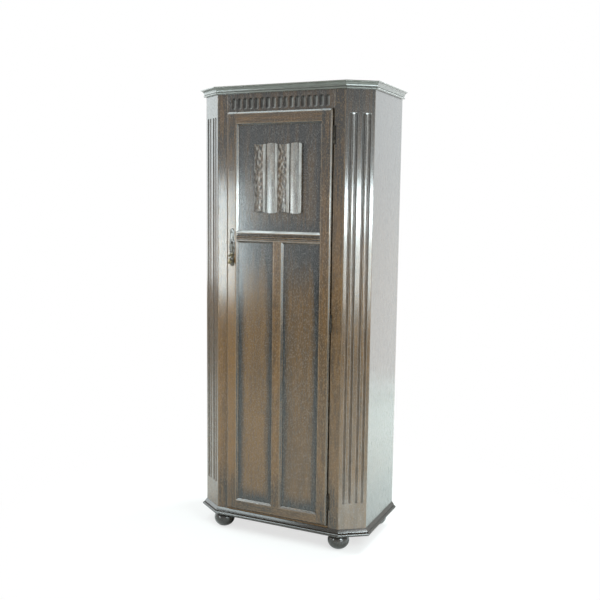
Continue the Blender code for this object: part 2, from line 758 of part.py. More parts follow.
def build_hinges():
    """Three butt hinges: each has a leaf on the post, a leaf on the door and a loose pin between them."""
    door_near = -KNUCKLE_RADIUS
    post_near = door_near + LEAF_THICK + SEAT
    bore = circle(PIN_RADIUS + SEAT, SMALL_STEPS)
    knuckle = HINGE_LENGTH / 3
    clear = KNUCKLE_RADIUS + SEAT
    gap_size = (2 * clear + 2 * SEAT, 2 * clear + SEAT)
    middle_gap = block("gap", (*gap_size, knuckle + 2 * SEAT))
    end_gap = block("gap", (*gap_size, knuckle + SEAT))
    shaft = HINGE_LENGTH / 2 + SEAT
    tip = shaft + PIN_HEAD
    upper = [
        (0, tip), (PIN_RADIUS, tip), (PIN_HEAD_RADIUS, tip - PIN_HEAD / 2), (PIN_HEAD_RADIUS, shaft),
        (PIN_RADIUS, shaft),
    ]
    pin = upper + [(radius, -height) for radius, height in reversed(upper)]
    heights = (DOOR_HIGH - HINGE_INSET, (DOOR_HIGH + DOOR_LOW) / 2, DOOR_LOW + HINGE_INSET)
    for z, label in zip(heights, ("upper", "middle", "lower")):
        place = (HINGE_X, HINGE_Y, z)
        section = leaf_section(post_near, post_near + LEAF_THICK, POST_LEAF)
        name = "hinge_post_leaf_" + label
        mesh = drawn(name, [section, bore], HINGE_LENGTH, smooth=True)
        leaf = add_part(name, mesh, OLD_BRASS, CARCASS, place)
        combine(leaf, add_cutter(middle_gap, place), "DIFFERENCE")
        section = leaf_section(door_near, door_near + LEAF_THICK, DOOR_LEAF)
        name = "hinge_door_leaf_" + label
        mesh = drawn(name, [section, bore], HINGE_LENGTH, smooth=True)
        leaf = add_part(name, mesh, OLD_BRASS, DOOR, place)
        for end in (-1, 1):
            combine(leaf, add_cutter(end_gap, (HINGE_X, HINGE_Y, z + end * knuckle)), "DIFFERENCE")
        name = "hinge_pin_" + label
        add_part(name, turned(name, pin, SMALL_STEPS), STEEL, CARCASS, place)


def keyhole():
    """Keyhole outline: a round with a slot below it."""
    corner = math.degrees(math.asin(KEYHOLE_SLOT / 2 / KEYHOLE_RADIUS))
    round_part = arc((0, 0), KEYHOLE_RADIUS, -90 + corner, 270 - corner, SMALL_STEPS)
    half = KEYHOLE_SLOT / 2
    return round_part + [(-half, -KEYHOLE_DROP), (half, -KEYHOLE_DROP)]


def build_lock():
    """Lock on the back of the left stile, its sliding bolt, and the strike plate and pocket in the post."""
    left = -DOOR_HALF + LOCK_SETBACK
    near = DOOR_BACK_Y + SEAT
    case = box_between(
        "lock_case", (left, near, KEYHOLE_Z - LOCK_HEIGHT / 2),
        (left + LOCK_WIDTH, near + LOCK_THICK, KEYHOLE_Z + LOCK_HEIGHT / 2), STEEL, DOOR,
    )
    bolt_y = near + BOLT_INSET
    bolt_x = left + BOLT_LENGTH / 2
    mesh = block("lock_bolt", (BOLT_LENGTH, BOLT_THICK, BOLT_HEIGHT))
    add_part("lock_bolt", mesh, OLD_BRASS, DOOR, (bolt_x, bolt_y, KEYHOLE_Z))
    channel_mouth = (BOLT_THICK + 2 * SEAT, BOLT_HEIGHT + 2 * SEAT)
    channel = block("channel", (2 * BOLT_LENGTH + 2 * SEAT, *channel_mouth))
    combine(case, add_cutter(channel, (left, bolt_y, KEYHOLE_Z)), "DIFFERENCE")

    pocket_mouth = (BOLT_THICK + 4 * SEAT, BOLT_HEIGHT + 4 * SEAT)
    pocket = block("pocket", (2 * BOLT_TRAVEL, *pocket_mouth))
    post = bpy.data.objects["left_front_post"]
    combine(post, add_cutter(pocket, (-OPENING_HALF, bolt_y, KEYHOLE_Z)), "DIFFERENCE")
    loops = [rectangle(STRIKE_WIDTH, STRIKE_HEIGHT), rectangle(*pocket_mouth)]
    plate = drawn("strike_plate", loops, STRIKE_THICK)
    plate_x = -OPENING_HALF + SEAT + STRIKE_THICK / 2
    add_part("strike_plate", plate, OLD_BRASS, CARCASS, (plate_x, bolt_y, KEYHOLE_Z), ALONG_X)


def backplate_outline():
    """A long plate with two waists and rounded ends."""
    side = []
    for step in range(1, PLATE_STEPS):
        share = -math.cos(math.pi * step / PLATE_STEPS)
        swell = 1 - PLATE_WAIST * (1 - math.cos(2 * math.pi * share))
        half = PLATE_WIDTH / 2 * swell * math.sqrt(1 - share ** PLATE_SQUARENESS)
        side.append((half, share * PLATE_HEIGHT / 2))
    tip = [(0, PLATE_HEIGHT / 2)]
    foot = [(0, -PLATE_HEIGHT / 2)]
    return foot + side + tip + [(-x, y) for x, y in reversed(side)]


def build_handle():
    """Backplate, its screws, the stud and the pear drop hung through the stud on a wire yoke."""
    plate_z = KEYHOLE_Z - PLATE_BELOW_KEYHOLE
    hole = [(x, y + PLATE_BELOW_KEYHOLE) for x, y in keyhole()]
    mesh = drawn("handle_backplate", [backplate_outline(), hole], PLATE_THICK - SEAT)
    plate_y = DOOR_FRONT_Y - SEAT - (PLATE_THICK - SEAT) / 2
    add_part("handle_backplate", mesh, OLD_BRASS, DOOR, (STILE_X, plate_y, plate_z), ALONG_Y)

    face = DOOR_FRONT_Y - PLATE_THICK - SEAT
    dome = [(SCREW_RADIUS * x, SCREW_DOME * y) for x, y in arc((0, 0), 1.0, 90, 0, EDGE_STEPS)]
    dome[0] = (0, SCREW_DOME)
    dome.append((0, 0))
    for z, label in ((SCREW_ABOVE_KEYHOLE, "upper"), (-SCREW_BELOW_KEYHOLE, "lower")):
        name = "plate_screw_" + label
        place = (STILE_X, face, KEYHOLE_Z + z)
        add_part(name, turned(name, dome, SMALL_STEPS), OLD_BRASS, DOOR, place, TO_FRONT)

    reach = STUD_REACH - SEAT
    waist = math.degrees(math.acos(STUD_NECK / STUD_HEAD))
    stud = arc((0, reach), STUD_HEAD, 90, -waist, PROFILE_STEPS)
    stud[0] = (0, reach + STUD_HEAD)
    stud += [(STUD_NECK, 2 * STUD_FLANGE_THICK), (STUD_FLANGE, STUD_FLANGE_THICK), (STUD_FLANGE, 0), (0, 0)]
    mesh = turned("handle_stud", stud, KNOB_STEPS)
    part = add_part("handle_stud", mesh, OLD_BRASS, DOOR, (STILE_X, face, DROP_Z), TO_FRONT)
    eye = drawn("eye", [circle(YOKE_WIRE + SEAT, SMALL_STEPS)], 4 * STUD_HEAD)
    pivot = (STILE_X, DROP_Y, DROP_Z)
    combine(part, add_cutter(eye, pivot, ALONG_X), "DIFFERENCE")

    pear = turned("drop_handle", pear_profile(), KNOB_STEPS)
    drop = add_part("drop_handle", pear, OLD_BRASS, DROP, pivot)
    combine(drop, add_cutter(yoke_mesh(), pivot), "UNION")


def pear_profile():
    """Pear below the pivot: a slim neck that swells to its widest low down, as radius and height."""
    neck = YOKE_WIRE - YOKE_DROP
    body = PEAR_LENGTH + neck
    radii = []
    for step in range(PEAR_STEPS + 1):
        share = (step / PEAR_STEPS) ** PEAR_SWELL
        radii.append(math.sin(math.pi * share))
    widest = max(radii)
    profile = [(0, neck)]
    for step in range(1, PEAR_STEPS):
        radius = max(PEAR_RADIUS * radii[step] / widest, YOKE_WIRE)
        profile.append((radius, neck - body * step / PEAR_STEPS))
    return profile + [(0, -PEAR_LENGTH)]


def yoke_mesh():
    """Mesh of the closed wire yoke: a bar through the stud and two legs that meet in the pear."""
    curve = bpy.data.curves.new("yoke", "CURVE")
    curve.dimensions = "3D"
    curve.bevel_depth = YOKE_WIRE
    curve.bevel_resolution = 2
    half = YOKE_HALF_WIDTH
    bend = YOKE_WIRE
    right = [
        (half - bend, 0), (half - bend / 4, -bend / 4), (half, -bend), (half, -YOKE_DROP / 3),
        (half / 3, -YOKE_DROP - YOKE_WIRE),
    ]
    points = right + [(-x, z) for x, z in reversed(right)]
    spline = curve.splines.new("POLY")
    spline.points.add(len(points) - 1)
    spline.use_cyclic_u = True
    for point, (x, z) in zip(spline.points, points):
        point.co = (x, 0, z, 1)
    bent = bpy.data.objects.new("yoke", curve)
    CUTTERS.objects.link(bent)
    graph = bpy.context.evaluated_depsgraph_get()
    mesh = bpy.data.meshes.new_from_object(bent.evaluated_get(graph))
    bpy.data.objects.remove(bent)
    bpy.data.curves.remove(curve)
    shape = bmesh.new()
    shape.from_mesh(mesh)
    bpy.data.meshes.remove(mesh)
    return finish_bmesh(shape, "yoke", smooth=True)


def build_inside():
    """Hat shelf on two bearers, and a hanging rail from front to back in two brackets under it."""
    shelf_x = BODY_WIDTH / 2 - BOARD - SEAT
    shelf_front = INNER_PLAN[4].y + SEAT
    shelf_back = BACK_BOARD_Y - SEAT
    low = (-shelf_x, shelf_front, SHELF_LOW)
    high = (shelf_x, shelf_back, SHELF_HIGH)
    box_between("hat_shelf", low, high, INNER_OAK, CARCASS)
    bearer_x = shelf_x - BEARER_WIDTH / 2
    bearer_y = (shelf_front + shelf_back) / 2
    bearer_z = SHELF_LOW - SEAT - BEARER_HEIGHT / 2
    for side, name in ((-1, "left"), (1, "right")):
        mesh = block("bearer", (BEARER_WIDTH, shelf_back - shelf_front, BEARER_HEIGHT))
        add_part("shelf_bearer_" + name, mesh, INNER_OAK, CARCASS, (side * bearer_x, bearer_y, bearer_z))

    rail_z = SHELF_LOW - RAIL_DROP
    ring = RAIL_RADIUS + SEAT + BRACKET_WALL
    top = RAIL_DROP - SEAT
    outline = arc((0, 0), ring, 180, 360, SMALL_STEPS) + [(ring, top), (-ring, top)]
    hole = circle(RAIL_RADIUS + SEAT, ROUND_STEPS)
    front = shelf_front + BRACKET_INSET
    back = shelf_back - BRACKET_INSET
    for y, label in ((front, "front"), (back, "back")):
        name = "rail_bracket_" + label
        mesh = drawn(name, [outline, hole], BRACKET_THICK)
        add_part(name, mesh, STEEL, CARCASS, (0, y, rail_z), ALONG_Y)
    length = back - front + 2 * BRACKET_THICK
    mesh = drawn("hanging_rail", [circle(RAIL_RADIUS, ROUND_STEPS)], length, smooth=True)
    add_part("hanging_rail", mesh, STEEL, CARCASS, (0, (front + back) / 2, rail_z), ALONG_Y)


build_carcass_boards()
build_mouldings()
build_feet()
build_door_frame()
build_door_panels()
build_linenfold()
build_hinges()
build_lock()
build_handle()
build_inside()
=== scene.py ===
"""
Looks of a single-door oak hall wardrobe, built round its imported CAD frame.

Metres, +Z up. The front faces -Y.
"""
import itertools
import math
from typing import NamedTuple

import bmesh
import bpy
import numpy as np
from bpy.props import FloatProperty, FloatVectorProperty, IntProperty, PointerProperty
from mathutils import Matrix, Vector


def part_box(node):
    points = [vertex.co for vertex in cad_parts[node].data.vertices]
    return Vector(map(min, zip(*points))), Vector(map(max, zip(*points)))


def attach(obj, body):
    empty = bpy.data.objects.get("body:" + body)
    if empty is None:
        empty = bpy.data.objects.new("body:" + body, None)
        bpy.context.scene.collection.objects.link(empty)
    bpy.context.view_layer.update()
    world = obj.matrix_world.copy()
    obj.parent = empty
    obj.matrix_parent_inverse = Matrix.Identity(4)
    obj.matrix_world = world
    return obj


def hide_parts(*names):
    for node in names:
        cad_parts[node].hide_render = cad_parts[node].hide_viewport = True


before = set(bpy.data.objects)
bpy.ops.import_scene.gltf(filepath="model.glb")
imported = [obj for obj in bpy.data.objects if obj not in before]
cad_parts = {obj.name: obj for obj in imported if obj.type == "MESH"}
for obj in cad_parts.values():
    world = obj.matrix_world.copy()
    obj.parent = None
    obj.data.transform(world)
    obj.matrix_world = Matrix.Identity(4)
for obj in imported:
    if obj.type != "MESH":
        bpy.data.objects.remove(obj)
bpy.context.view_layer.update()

bl_info = {
    "name": "Oak hall wardrobe",
    "version": (1, 0, 0),
    "blender": (4, 5, 0),
    "location": "View3D > Sidebar > Wardrobe",
    "description": "Builds the visible surfaces, finishes and studio of an oak hall wardrobe",
    "category": "Object",
}

PIECE_NUMBER = itertools.count(1)

# World directions
RIGHT = np.array((1.0, 0.0, 0.0))
BACKWARD = np.array((0.0, 1.0, 0.0))
UP = np.array((0.0, 0.0, 1.0))

# Clearance that the pieces keep from one another, and how far back that puts an end that meets a chamfer
SEAT = 0.0003
CHAMFER_SEAT = SEAT * math.sqrt(2)

# Distance at which points merge, and the angle below which two faces are shaded as one surface
MERGE = 0.000001
SMOOTH_BELOW = math.radians(38)

# Room that a shader node takes in the node editor
NODE_WIDTH = 220
NODE_HEIGHT = 260

# How far the place in the oak moves on from one piece to the next
OAK_STEP = np.array((1.37, 0.71, 2.11))

# Rounding of the edges of mouldings and of the door's members, and how far a fluted board's arris falls
MOULDING_ARRIS = 0.0008
DOOR_ARRIS = 0.0009
FLUTED_ARRIS = 0.0003

# Largest share of a side that a rounded corner takes, how many times as far back a guard point stands, and
# the largest share of a side that this takes
ROUNDED_SHARE = 0.3
GUARD_TIMES = 3
GUARD_SHARE = 0.45

# Rows of points up a board or along a member
BOARD_ROWS = 40

# How far the edges of boards, mouldings, the door's members and flutes are worn
BOARD_WEAR = 0.4
MOULDING_WEAR = 0.1
DOOR_WEAR = 0.5
FLUTE_WEAR = 0.6

# Distance over which the wear of a flute's lip fades, and the share of its depth at which its wall is full
LIP_REACH = 0.0009
WALL_SHARE = 0.25

# Way to the light at the upper left, across a face and up it, and a wall's lean in shade and in light
LIGHT_ACROSS = 0.8
LIGHT_UP = 0.6
SHADED_LEAN = -0.475
LIT_LEAN = 0.025

# How far a reed goes past the lips of its flutes, and over what length it dies out at their ends
REED_OVERLAP = 0.0005
REED_END = 0.006

# How far a pale member is made pale on its edges, wear with a painted highlight, and on its upper chamfer, a
# painted highlight
EDGE_WEAR_AND_GLINT = 1.4
PAINTED_CHAMFER_GLINT = 2.4

# Depth to which the rubbing of a door member reaches, and the share of its glow below that
RUBBED_DEPTH = 0.0006
BELOW_FACE_SHARE = 0.2

# Play of a panel in its groove, how many times the fade its glow takes upward, and its points across and up
PANEL_PLAY = 0.001
UPWARD_FADE = 1.8
PANEL_COLUMNS = 41
PANEL_ROWS = 81

# Linenfold: wear of the crowns with a painted sheen, wear of the hollows, glow of both, matt share of the
# hollows
CROWN_WEAR_AND_SHEEN = 0.5
HOLLOW_WEAR = 0.1
CROWN_GLOW = 0.3
HOLLOW_GLOW = 0.35
HOLLOW_MATT = 0.4

# Its figure: how pale and dark it gets, its sine waves, and the sum of waves at which it is full
PALE_FIGURE = 0.8
DARK_FIGURE = 1.2
FIGURE_WAVES = 48
FULL_FIGURE = 9

# Its points across and up
LINEN_COLUMNS = 321
LINEN_ROWS = 61

# Depth of the gouge marks in its hollows, and the least thickness of the carved block
TOOL_DEPTH = 0.0004
LEAST_BLOCK = 0.001

# The backplate's section, from the keyhole's edge at the back round the rim to its edge at the face: the
# share of the way to the rim, and the share of the plate's thickness
PLATE_SECTION = np.array((
    (0.0, 0.0), (1.0, 0.0), (1.0, 0.35), (0.975, 0.75), (0.94, 0.92), (0.88, 1.0), (0.82, 0.86), (0.76, 0.8),
    (0.5, 0.8), (0.16, 0.8), (0.1, 1.0), (0.04, 1.0), (0.0, 0.8),
))

# The pear drop: the power that makes it widest low down, and its two beads, the collar and the tip, each with
# the place along it, the spread and the radius
PEAR_POWER = 1.6
PEAR_BEADS = ((0.13, 0.035, 0.0036), (0.965, 0.03, 0.0021))

# Heights between which the front's glow fades, darker towards the top and towards the foot, and its shares at
# the top and at the foot
DARK_ABOVE = 1.62
GLOW_FULL_BELOW = 1.0
GLOW_FULL_ABOVE = 0.31
DARK_BELOW = 0.17
TOP_SHARE = 0.15
FOOT_SHARE = 0.35

# Stained oak: shares of the flecks, which also stand for glints as a painted highlight, the pores and the
# worn edges, and the tone of pores in bare wood
FLECK_SHARE = 0.55
PORE_SHARE = 0.55
WORN_SHARE = 0.7
BARE_PORE_TONE = 0.75

# Its polish: roughness between and in the pores, what carving adds to it, how far the flecks break its coat,
# and how much more they do so for each whole of figure
POLISH_ROUGH = 0.22
PORE_ROUGH = 0.4
CARVED_ROUGH = 0.2
BROKEN_COAT = 0.15
BROKEN_BY_FIGURE = 1.2
OAK_SPECULAR = 0.3

# Plain wood: tones of the dark streaks and of the pores, the pores' share and what they add to the roughness
STREAK_TONE = 0.6
PLAIN_PORE_TONE = 0.35
PLAIN_PORE_SHARE = 0.4
PLAIN_PORE_ROUGH = 0.15

# Old metal: share of the scratches, what tarnish adds to the roughness, and roughness of the lacquer
SCRATCH_SHARE = 0.25
TARNISH_ROUGH = 0.2
LACQUER_ROUGH = 0.15


def lowest(node, axis):
    """Lowest coordinate of a CAD node along one axis."""
    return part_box(node)[0]["xyz".index(axis)]


def highest(node, axis):
    """Highest coordinate of a CAD node along one axis."""
    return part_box(node)[1]["xyz".index(axis)]


def corners(node):
    """Lowest and highest corner of a CAD node's box."""
    return np.array(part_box(node))


def length(name, description, default):
    """A length property in metres."""
    return FloatProperty(name=name, description=description, default=default, unit="LENGTH", precision=5)


def share(name, description, default):
    """A property from zero to one."""
    return FloatProperty(name=name, description=description, default=default, min=0, max=1, subtype="FACTOR")


def count(name, description, default):
    """A property that counts like pieces."""
    return IntProperty(name=name, description=description, default=default, min=1)


def colour(name, description, default):
    """A linear colour property."""
    return FloatVectorProperty(
        name=name, description=description, default=default, min=0, max=1, subtype="COLOR",
    )


class WardrobeSizes(bpy.types.PropertyGroup):
    """Sizes of the carved, turned and moulded surfaces."""

    front_half: length(
        "Front half width", "From the middle to the arris of a canted corner",
        highest("right_front_post", "x") + SEAT / 2,
    )
    body_half: length(
        "Body half width", "From the middle to a side board's face", highest("right_side_panel", "x"),
    )
    cant_setback: length(
        "Cant setback", "How far the side starts behind the front",
        lowest("right_side_panel", "y") - SEAT / 2 - lowest("frieze_rail", "y"),
    )
    board: length("Board", "Thickness of the carcass boards", 0.020)
    back_rebate: length("Back rebate", "Width of the rebate that holds the back", 0.010)
    arris: length("Arris", "Rounding of the boards' edges", 0.0012)
    bolt_pocket: length("Bolt pocket", "Depth of the pocket for the lock's bolt", 0.008)

    cant_flute_radius: length("Cant flute radius", "Radius of the gouge that cut the corner flutes", 0.0055)
    cant_flute_depth: length("Cant flute depth", "Depth of the corner flutes", 0.0045)
    cant_flute_inner: length("Inner flute place", "Inner corner flutes, from the middle of the cant", 0.0138)
    cant_flute_outer: length("Outer flute place", "Outer corner flutes, from the middle of the cant", 0.0365)
    cant_flute_foot: length("Flute foot", "From the plinth up to the lower ends of the corner flutes", 0.099)
    cant_flute_head: length("Flute head", "From the cornice down to the corner flutes' upper ends", 0.085)
    cant_reed: length("Cant reed", "Fall of the rounded strip inside a pair of flutes", 0.0016)
    frieze_flutes: count("Frieze flutes", "Flutes above the door", 17)
    frieze_margin: length("Frieze margin", "From the end of the frieze to the first flute", 0.0275)
    frieze_flute_radius: length("Frieze flute radius", "Radius of the gouge of the frieze", 0.0085)
    frieze_flute_depth: length("Frieze flute depth", "Depth of the frieze flutes", 0.0078)
    frieze_flute_height: length("Frieze flute height", "Height of the frieze flutes", 0.0425)
    frieze_flute_head: length("Frieze flute head", "From the cornice down to the frieze flutes", 0.0175)

    cornice_reach: length("Cornice reach", "How far the cornice stands out", 0.020)
    cornice_fillet: length("Cornice fillet", "Height of the flat top edge", 0.0042)
    cornice_cove_in: length("Cornice cove", "Reach of the cove's lower end", 0.008)
    cornice_quirk: length("Cornice quirk", "Step between cove and bead", 0.0012)
    cornice_bead: length("Cornice bead", "Radius of the bead under the cove", 0.0036)
    plinth_reach: length("Plinth reach", "How far the plinth stands out", 0.017)
    plinth_nose: length("Plinth nose", "Half height of the plinth's lower round", 0.0075)
    plinth_quirk_in: length("Plinth quirk", "Reach of the quirk between the two rounds", 0.006)
    plinth_quirk: length("Plinth quirk height", "Height of that quirk", 0.0015)
    plinth_slope_in: length("Plinth slope", "Reach of the plinth's sloping top", 0.010)
    plinth_bulge: length("Plinth bulge", "How far the sloping top bulges", 0.0001)

    foot_radius: length("Foot radius", "Widest radius of a bun foot", 0.042)
    foot_top: length("Foot top", "Radius of a bun foot's neck", 0.021)
    foot_base: length("Foot base", "Radius of the flat under a bun foot", 0.0095)
    foot_neck: length("Foot neck", "Height of a bun foot's neck", 0.006)

    door_thick: length("Door thickness", "Thickness of the door's frame", 0.022)
    door_side: length("Door side edge", "Chamfer of the door's upright edges", 0.0048)
    door_end: length("Door end edge", "Height of the bevel along the door's top and bottom", 0.0075)
    door_end_depth: length("Door end depth", "Depth of the bevel along the door's top and bottom", 0.0043)
    stile: length("Stile", "Width of a stile", 0.049)
    top_rail: length("Top rail", "Height of the top rail", 0.052)
    bottom_rail: length("Bottom rail", "Height of the bottom rail", 0.046)
    chamfer: length("Chamfer", "Chamfer of the sight edges", 0.008)
    lip: length("Lip", "Straight edge behind a chamfer", 0.001)
    groove: length("Groove", "Depth of the panel grooves", 0.006)
    panel: length("Panel", "Thickness of a panel", 0.008)
    reeds: count("Reeds", "Reeds of the middle rail", 2)
    reed_width: length("Reed width", "Width of one reed", 0.0075)
    reed_depth: length("Reed depth", "Depth between the reeds", 0.0032)
    rail_cove: length("Rail cove", "Width of the cove above the reeds", 0.0095)
    rail_cove_depth: length("Rail cove depth", "Depth of the cove above the reeds", 0.0048)

    linen_base: length("Linen base", "Thickness of the linenfold under its carving", 0.003)
    linen_rise: length("Linen rise", "Height of the carved folds", 0.0085)
    linen_folds: count("Linen folds", "Hollow and round folds by turns", 4)
    linen_ridge: share("Linen ridge", "Share of a fold that its ridge takes", 0.270)
    linen_dip: length("Linen dip", "How far the ends of the hollow folds are cut back", 0.006)

    plate_waist: share("Plate waist", "How much the backplate narrows between its swells", 0.18)
    keyhole_radius: length("Keyhole radius", "Radius of the keyhole's round", 0.0027)
    keyhole_slot: length("Keyhole slot", "Width of the keyhole's slot", 0.0028)
    keyhole_drop: length("Keyhole drop", "From the round's centre to the slot's end", 0.008)
    plate_below_keyhole: length("Plate below keyhole", "From the keyhole down to the plate's middle", 0.0195)
    stud_neck: length("Stud neck", "Radius of the drop's stud", 0.003)
    stud_head: length("Stud head", "Radius of the stud's ball", 0.0045)
    yoke_wire: length("Yoke wire", "Radius of the drop's wire", 0.0013)
    yoke_half: length("Yoke half width", "From the middle to a leg of the wire", 0.0068)
    yoke_drop: length("Yoke drop", "From the pivot to the pear's neck", 0.011)
    pear_radius: length("Pear radius", "Widest radius of the drop", 0.0085)
    pear_length: length("Pear length", "From the pivot to the drop's tip", 0.035)


class WardrobeColours(bpy.types.PropertyGroup):
    """Linear colours of the finishes."""

    stain_dark: colour("Dark stain", "Stain in the pores, hollows and shaded borders", (0.014, 0.012, 0.010))
    stain_brown: colour("Brown stain", "Stain where it is rubbed thin", (0.164, 0.080, 0.022))
    # Greyed so that worn edges and flecks also stand for glints, a painted highlight
    stain_edge: colour("Worn edge", "Wood that shows at worn edges", (0.400, 0.285, 0.185))
    panel_dark: colour("Panel border", "Shaded border of a panel", (0.014, 0.014, 0.014))
    panel_brown: colour("Panel centre", "Rubbed centre of a panel", (0.172, 0.086, 0.024))
    plain_oak: colour("Plain oak", "Waxed oak inside", (0.300, 0.185, 0.095))
    plywood: colour("Plywood", "Bare plywood of the back", (0.340, 0.235, 0.140))
    brass_black: colour("Black tarnish", "Blackened brass of the backplate", (0.075, 0.070, 0.062))
    brass_dark: colour("Tarnish", "Tarnished brass", (0.070, 0.060, 0.044))
    brass_bright: colour("Rubbed brass", "Brass on rubbed edges", (0.240, 0.200, 0.120))
    # Grey as a stand-in for the reflection in the cornice's cove, a painted reflection
    cornice_grey: colour("Cornice", "Grey oak of the cornice", (0.160, 0.164, 0.140))
    iron_dark: colour("Black iron", "Blackened hinge iron", (0.016, 0.015, 0.014))
    iron_bright: colour("Rubbed iron", "Hinge iron on rubbed edges", (0.060, 0.052, 0.042))
    # Also painted light, highlight and reflection: the lit walls of the frieze's flutes, the middle rail's
    # upper chamfer, the right cant's foot and the panels' flecks
    linen_grey: colour("Rubbed linenfold", "Pale rubbed wood of the round folds", (0.480, 0.467, 0.445))
    steel_dark: colour("Dull steel", "Steel with an oxide film", (0.250, 0.245, 0.238))
    steel_bright: colour("Rubbed steel", "Steel on rubbed edges", (0.285, 0.280, 0.270))
    floor: colour("Floor", "Studio floor", (0.780, 0.790, 0.760))


# Shader nodes


def add_node(tree, kind, **settings):
    """Adds a shader node and sets its properties."""
    node = tree.nodes.new(kind)
    for key, value in settings.items():
        setattr(node, key, value)
    return node


def arrange(tree):
    """Lays a finished node tree out in columns: each node stands before all the nodes that it feeds."""
    columns = {node.name: 0 for node in tree.nodes}
    for _ in tree.nodes:
        for link in tree.links:
            before = columns[link.to_node.name] + 1
            columns[link.from_node.name] = max(columns[link.from_node.name], before)
    rows = dict.fromkeys(columns.values(), 0)
    for node in tree.nodes:
        column = columns[node.name]
        node.location = (-NODE_WIDTH * column, -NODE_HEIGHT * rows[column])
        rows[column] += 1


def plug(tree, source, target):
    """Links an output to an input, or sets a plain value on the input."""
    if isinstance(source, bpy.types.NodeSocket):
        tree.links.new(source, target)
    else:
        target.default_value = source


def math_node(tree, operation, first, second=0.0, clamp=False):
    """A Math node's output."""
    node = add_node(tree, "ShaderNodeMath", operation=operation, use_clamp=clamp)
    plug(tree, first, node.inputs[0])
    plug(tree, second, node.inputs[1])
    return node.outputs[0]


def ramp(tree, value, low, high, to_low=0.0, to_high=1.0):
    """A smooth Map Range node's output."""
    node = add_node(tree, "ShaderNodeMapRange", interpolation_type="SMOOTHSTEP")
    for index, source in enumerate((value, low, high, to_low, to_high)):
        plug(tree, source, node.inputs[index])
    return node.outputs[0]


def mixed(tree, factor, first, second):
    """A colour Mix node's output."""
    node = add_node(tree, "ShaderNodeMix", data_type="RGBA")
    plug(tree, factor, node.inputs["Factor"])
    for source, label in ((first, "A_Color"), (second, "B_Color")):
        target = next(socket for socket in node.inputs if socket.identifier == label)
        plug(tree, source, target)
    return next(socket for socket in node.outputs if socket.identifier == "Result_Color")


def stretched_noise(tree, point, stretch, scale, detail):
    """Noise on a point that is stretched along the three axes."""
    scaled = add_node(tree, "ShaderNodeVectorMath", operation="MULTIPLY")
    plug(tree, point, scaled.inputs[0])
    scaled.inputs[1].default_value = stretch
    noise = add_node(tree, "ShaderNodeTexNoise", noise_dimensions="3D")
    plug(tree, scaled.outputs[0], noise.inputs["Vector"])
    noise.inputs["Scale"].default_value = scale
    noise.inputs["Detail"].default_value = detail
    return noise.outputs["Fac"]


def fill_oak_figure(tree, given, result):
    """Oak figure: long streaks, dark pores, pale rays and the height of the open grain."""
    point = given["Point"]
    broad = stretched_noise(tree, point, stretch=(1, 1, 0.06), scale=42, detail=4)
    fine = stretched_noise(tree, point, stretch=(1, 1, 0.07), scale=190, detail=2)
    short = stretched_noise(tree, point, stretch=(1, 1, 0.06), scale=700, detail=1)
    fleck = stretched_noise(tree, point, stretch=(1, 1, 0.45), scale=350, detail=2)
    half_broad = math_node(tree, "MULTIPLY", broad, 0.5)
    half_fine = math_node(tree, "MULTIPLY", fine, 0.5)
    streak = math_node(tree, "ADD", half_broad, half_fine)
    plug(tree, ramp(tree, streak, low=0.36, high=0.64), result["Streak"])
    pores = ramp(tree, short, low=0.54, high=0.66)
    plug(tree, pores, result["Pores"])
    plug(tree, ramp(tree, fleck, low=0.48, high=0.70), result["Rays"])
    raised = math_node(tree, "MULTIPLY", fine, 0.8)
    plug(tree, math_node(tree, "SUBTRACT", raised, pores), result["Height"])


def fill_painted_light_and_wear(tree, given, result):
    """Worn edges with painted light, and painted shade in hollows: breaks up a piece's own masks with patchy
    noise.
    """
    patchy = stretched_noise(tree, given["Point"], stretch=(1, 1, 0.3), scale=60, detail=3)
    rubbed_share = ramp(tree, patchy, low=0.32, high=0.72, to_low=0.55, to_high=1.0)
    plug(tree, math_node(tree, "MULTIPLY", given["Edge"], rubbed_share, True), result["Worn"])
    # Painted shade: the hollow mask, thinned in patches, darkens the colour
    shade_patches = ramp(tree, patchy, low=0.25, high=0.65, to_low=1.0, to_high=0.6)
    plug(tree, math_node(tree, "MULTIPLY", given["Hollow"], shade_patches, True), result["Grime"])


def fill_metal_patina(tree, given, result):
    """Patina of metal: broad tarnish, fine scratches and their height."""
    cloudy = stretched_noise(tree, given["Point"], stretch=(1, 1, 1), scale=130, detail=4)
    line = stretched_noise(tree, given["Point"], stretch=(1, 1, 0.08), scale=1500, detail=2)
    plug(tree, ramp(tree, cloudy, low=0.34, high=0.64), result["Tarnish"])
    plug(tree, ramp(tree, line, low=0.4, high=0.7), result["Scratch"])
    shallow = math_node(tree, "MULTIPLY", line, 0.3)
    plug(tree, math_node(tree, "ADD", cloudy, shallow), result["Height"])


# Each shared effect: what fills its group, the group's inputs and its outputs
GROUPS = {
    "oak_figure": (fill_oak_figure, ("Point",), ("Streak", "Pores", "Rays", "Height")),
    "edge_wear": (fill_painted_light_and_wear, ("Point", "Edge", "Hollow"), ("Worn", "Grime")),
    "metal_patina": (fill_metal_patina, ("Point",), ("Tarnish", "Scratch", "Height")),
}


def new_group(name):
    """Makes the shader node group of a shared effect, with its named sockets."""
    fill, inputs, outputs = GROUPS[name]
    tree = bpy.data.node_groups.new(name, "ShaderNodeTree")
    for label in inputs:
        kind = "NodeSocketVector" if label == "Point" else "NodeSocketFloat"
        tree.interface.new_socket(name=label, in_out="INPUT", socket_type=kind)
    for label in outputs:
        tree.interface.new_socket(name=label, in_out="OUTPUT", socket_type="NodeSocketFloat")
    start = add_node(tree, "NodeGroupInput")
    end = add_node(tree, "NodeGroupOutput")
    fill(tree, start.outputs, end.inputs)
    arrange(tree)


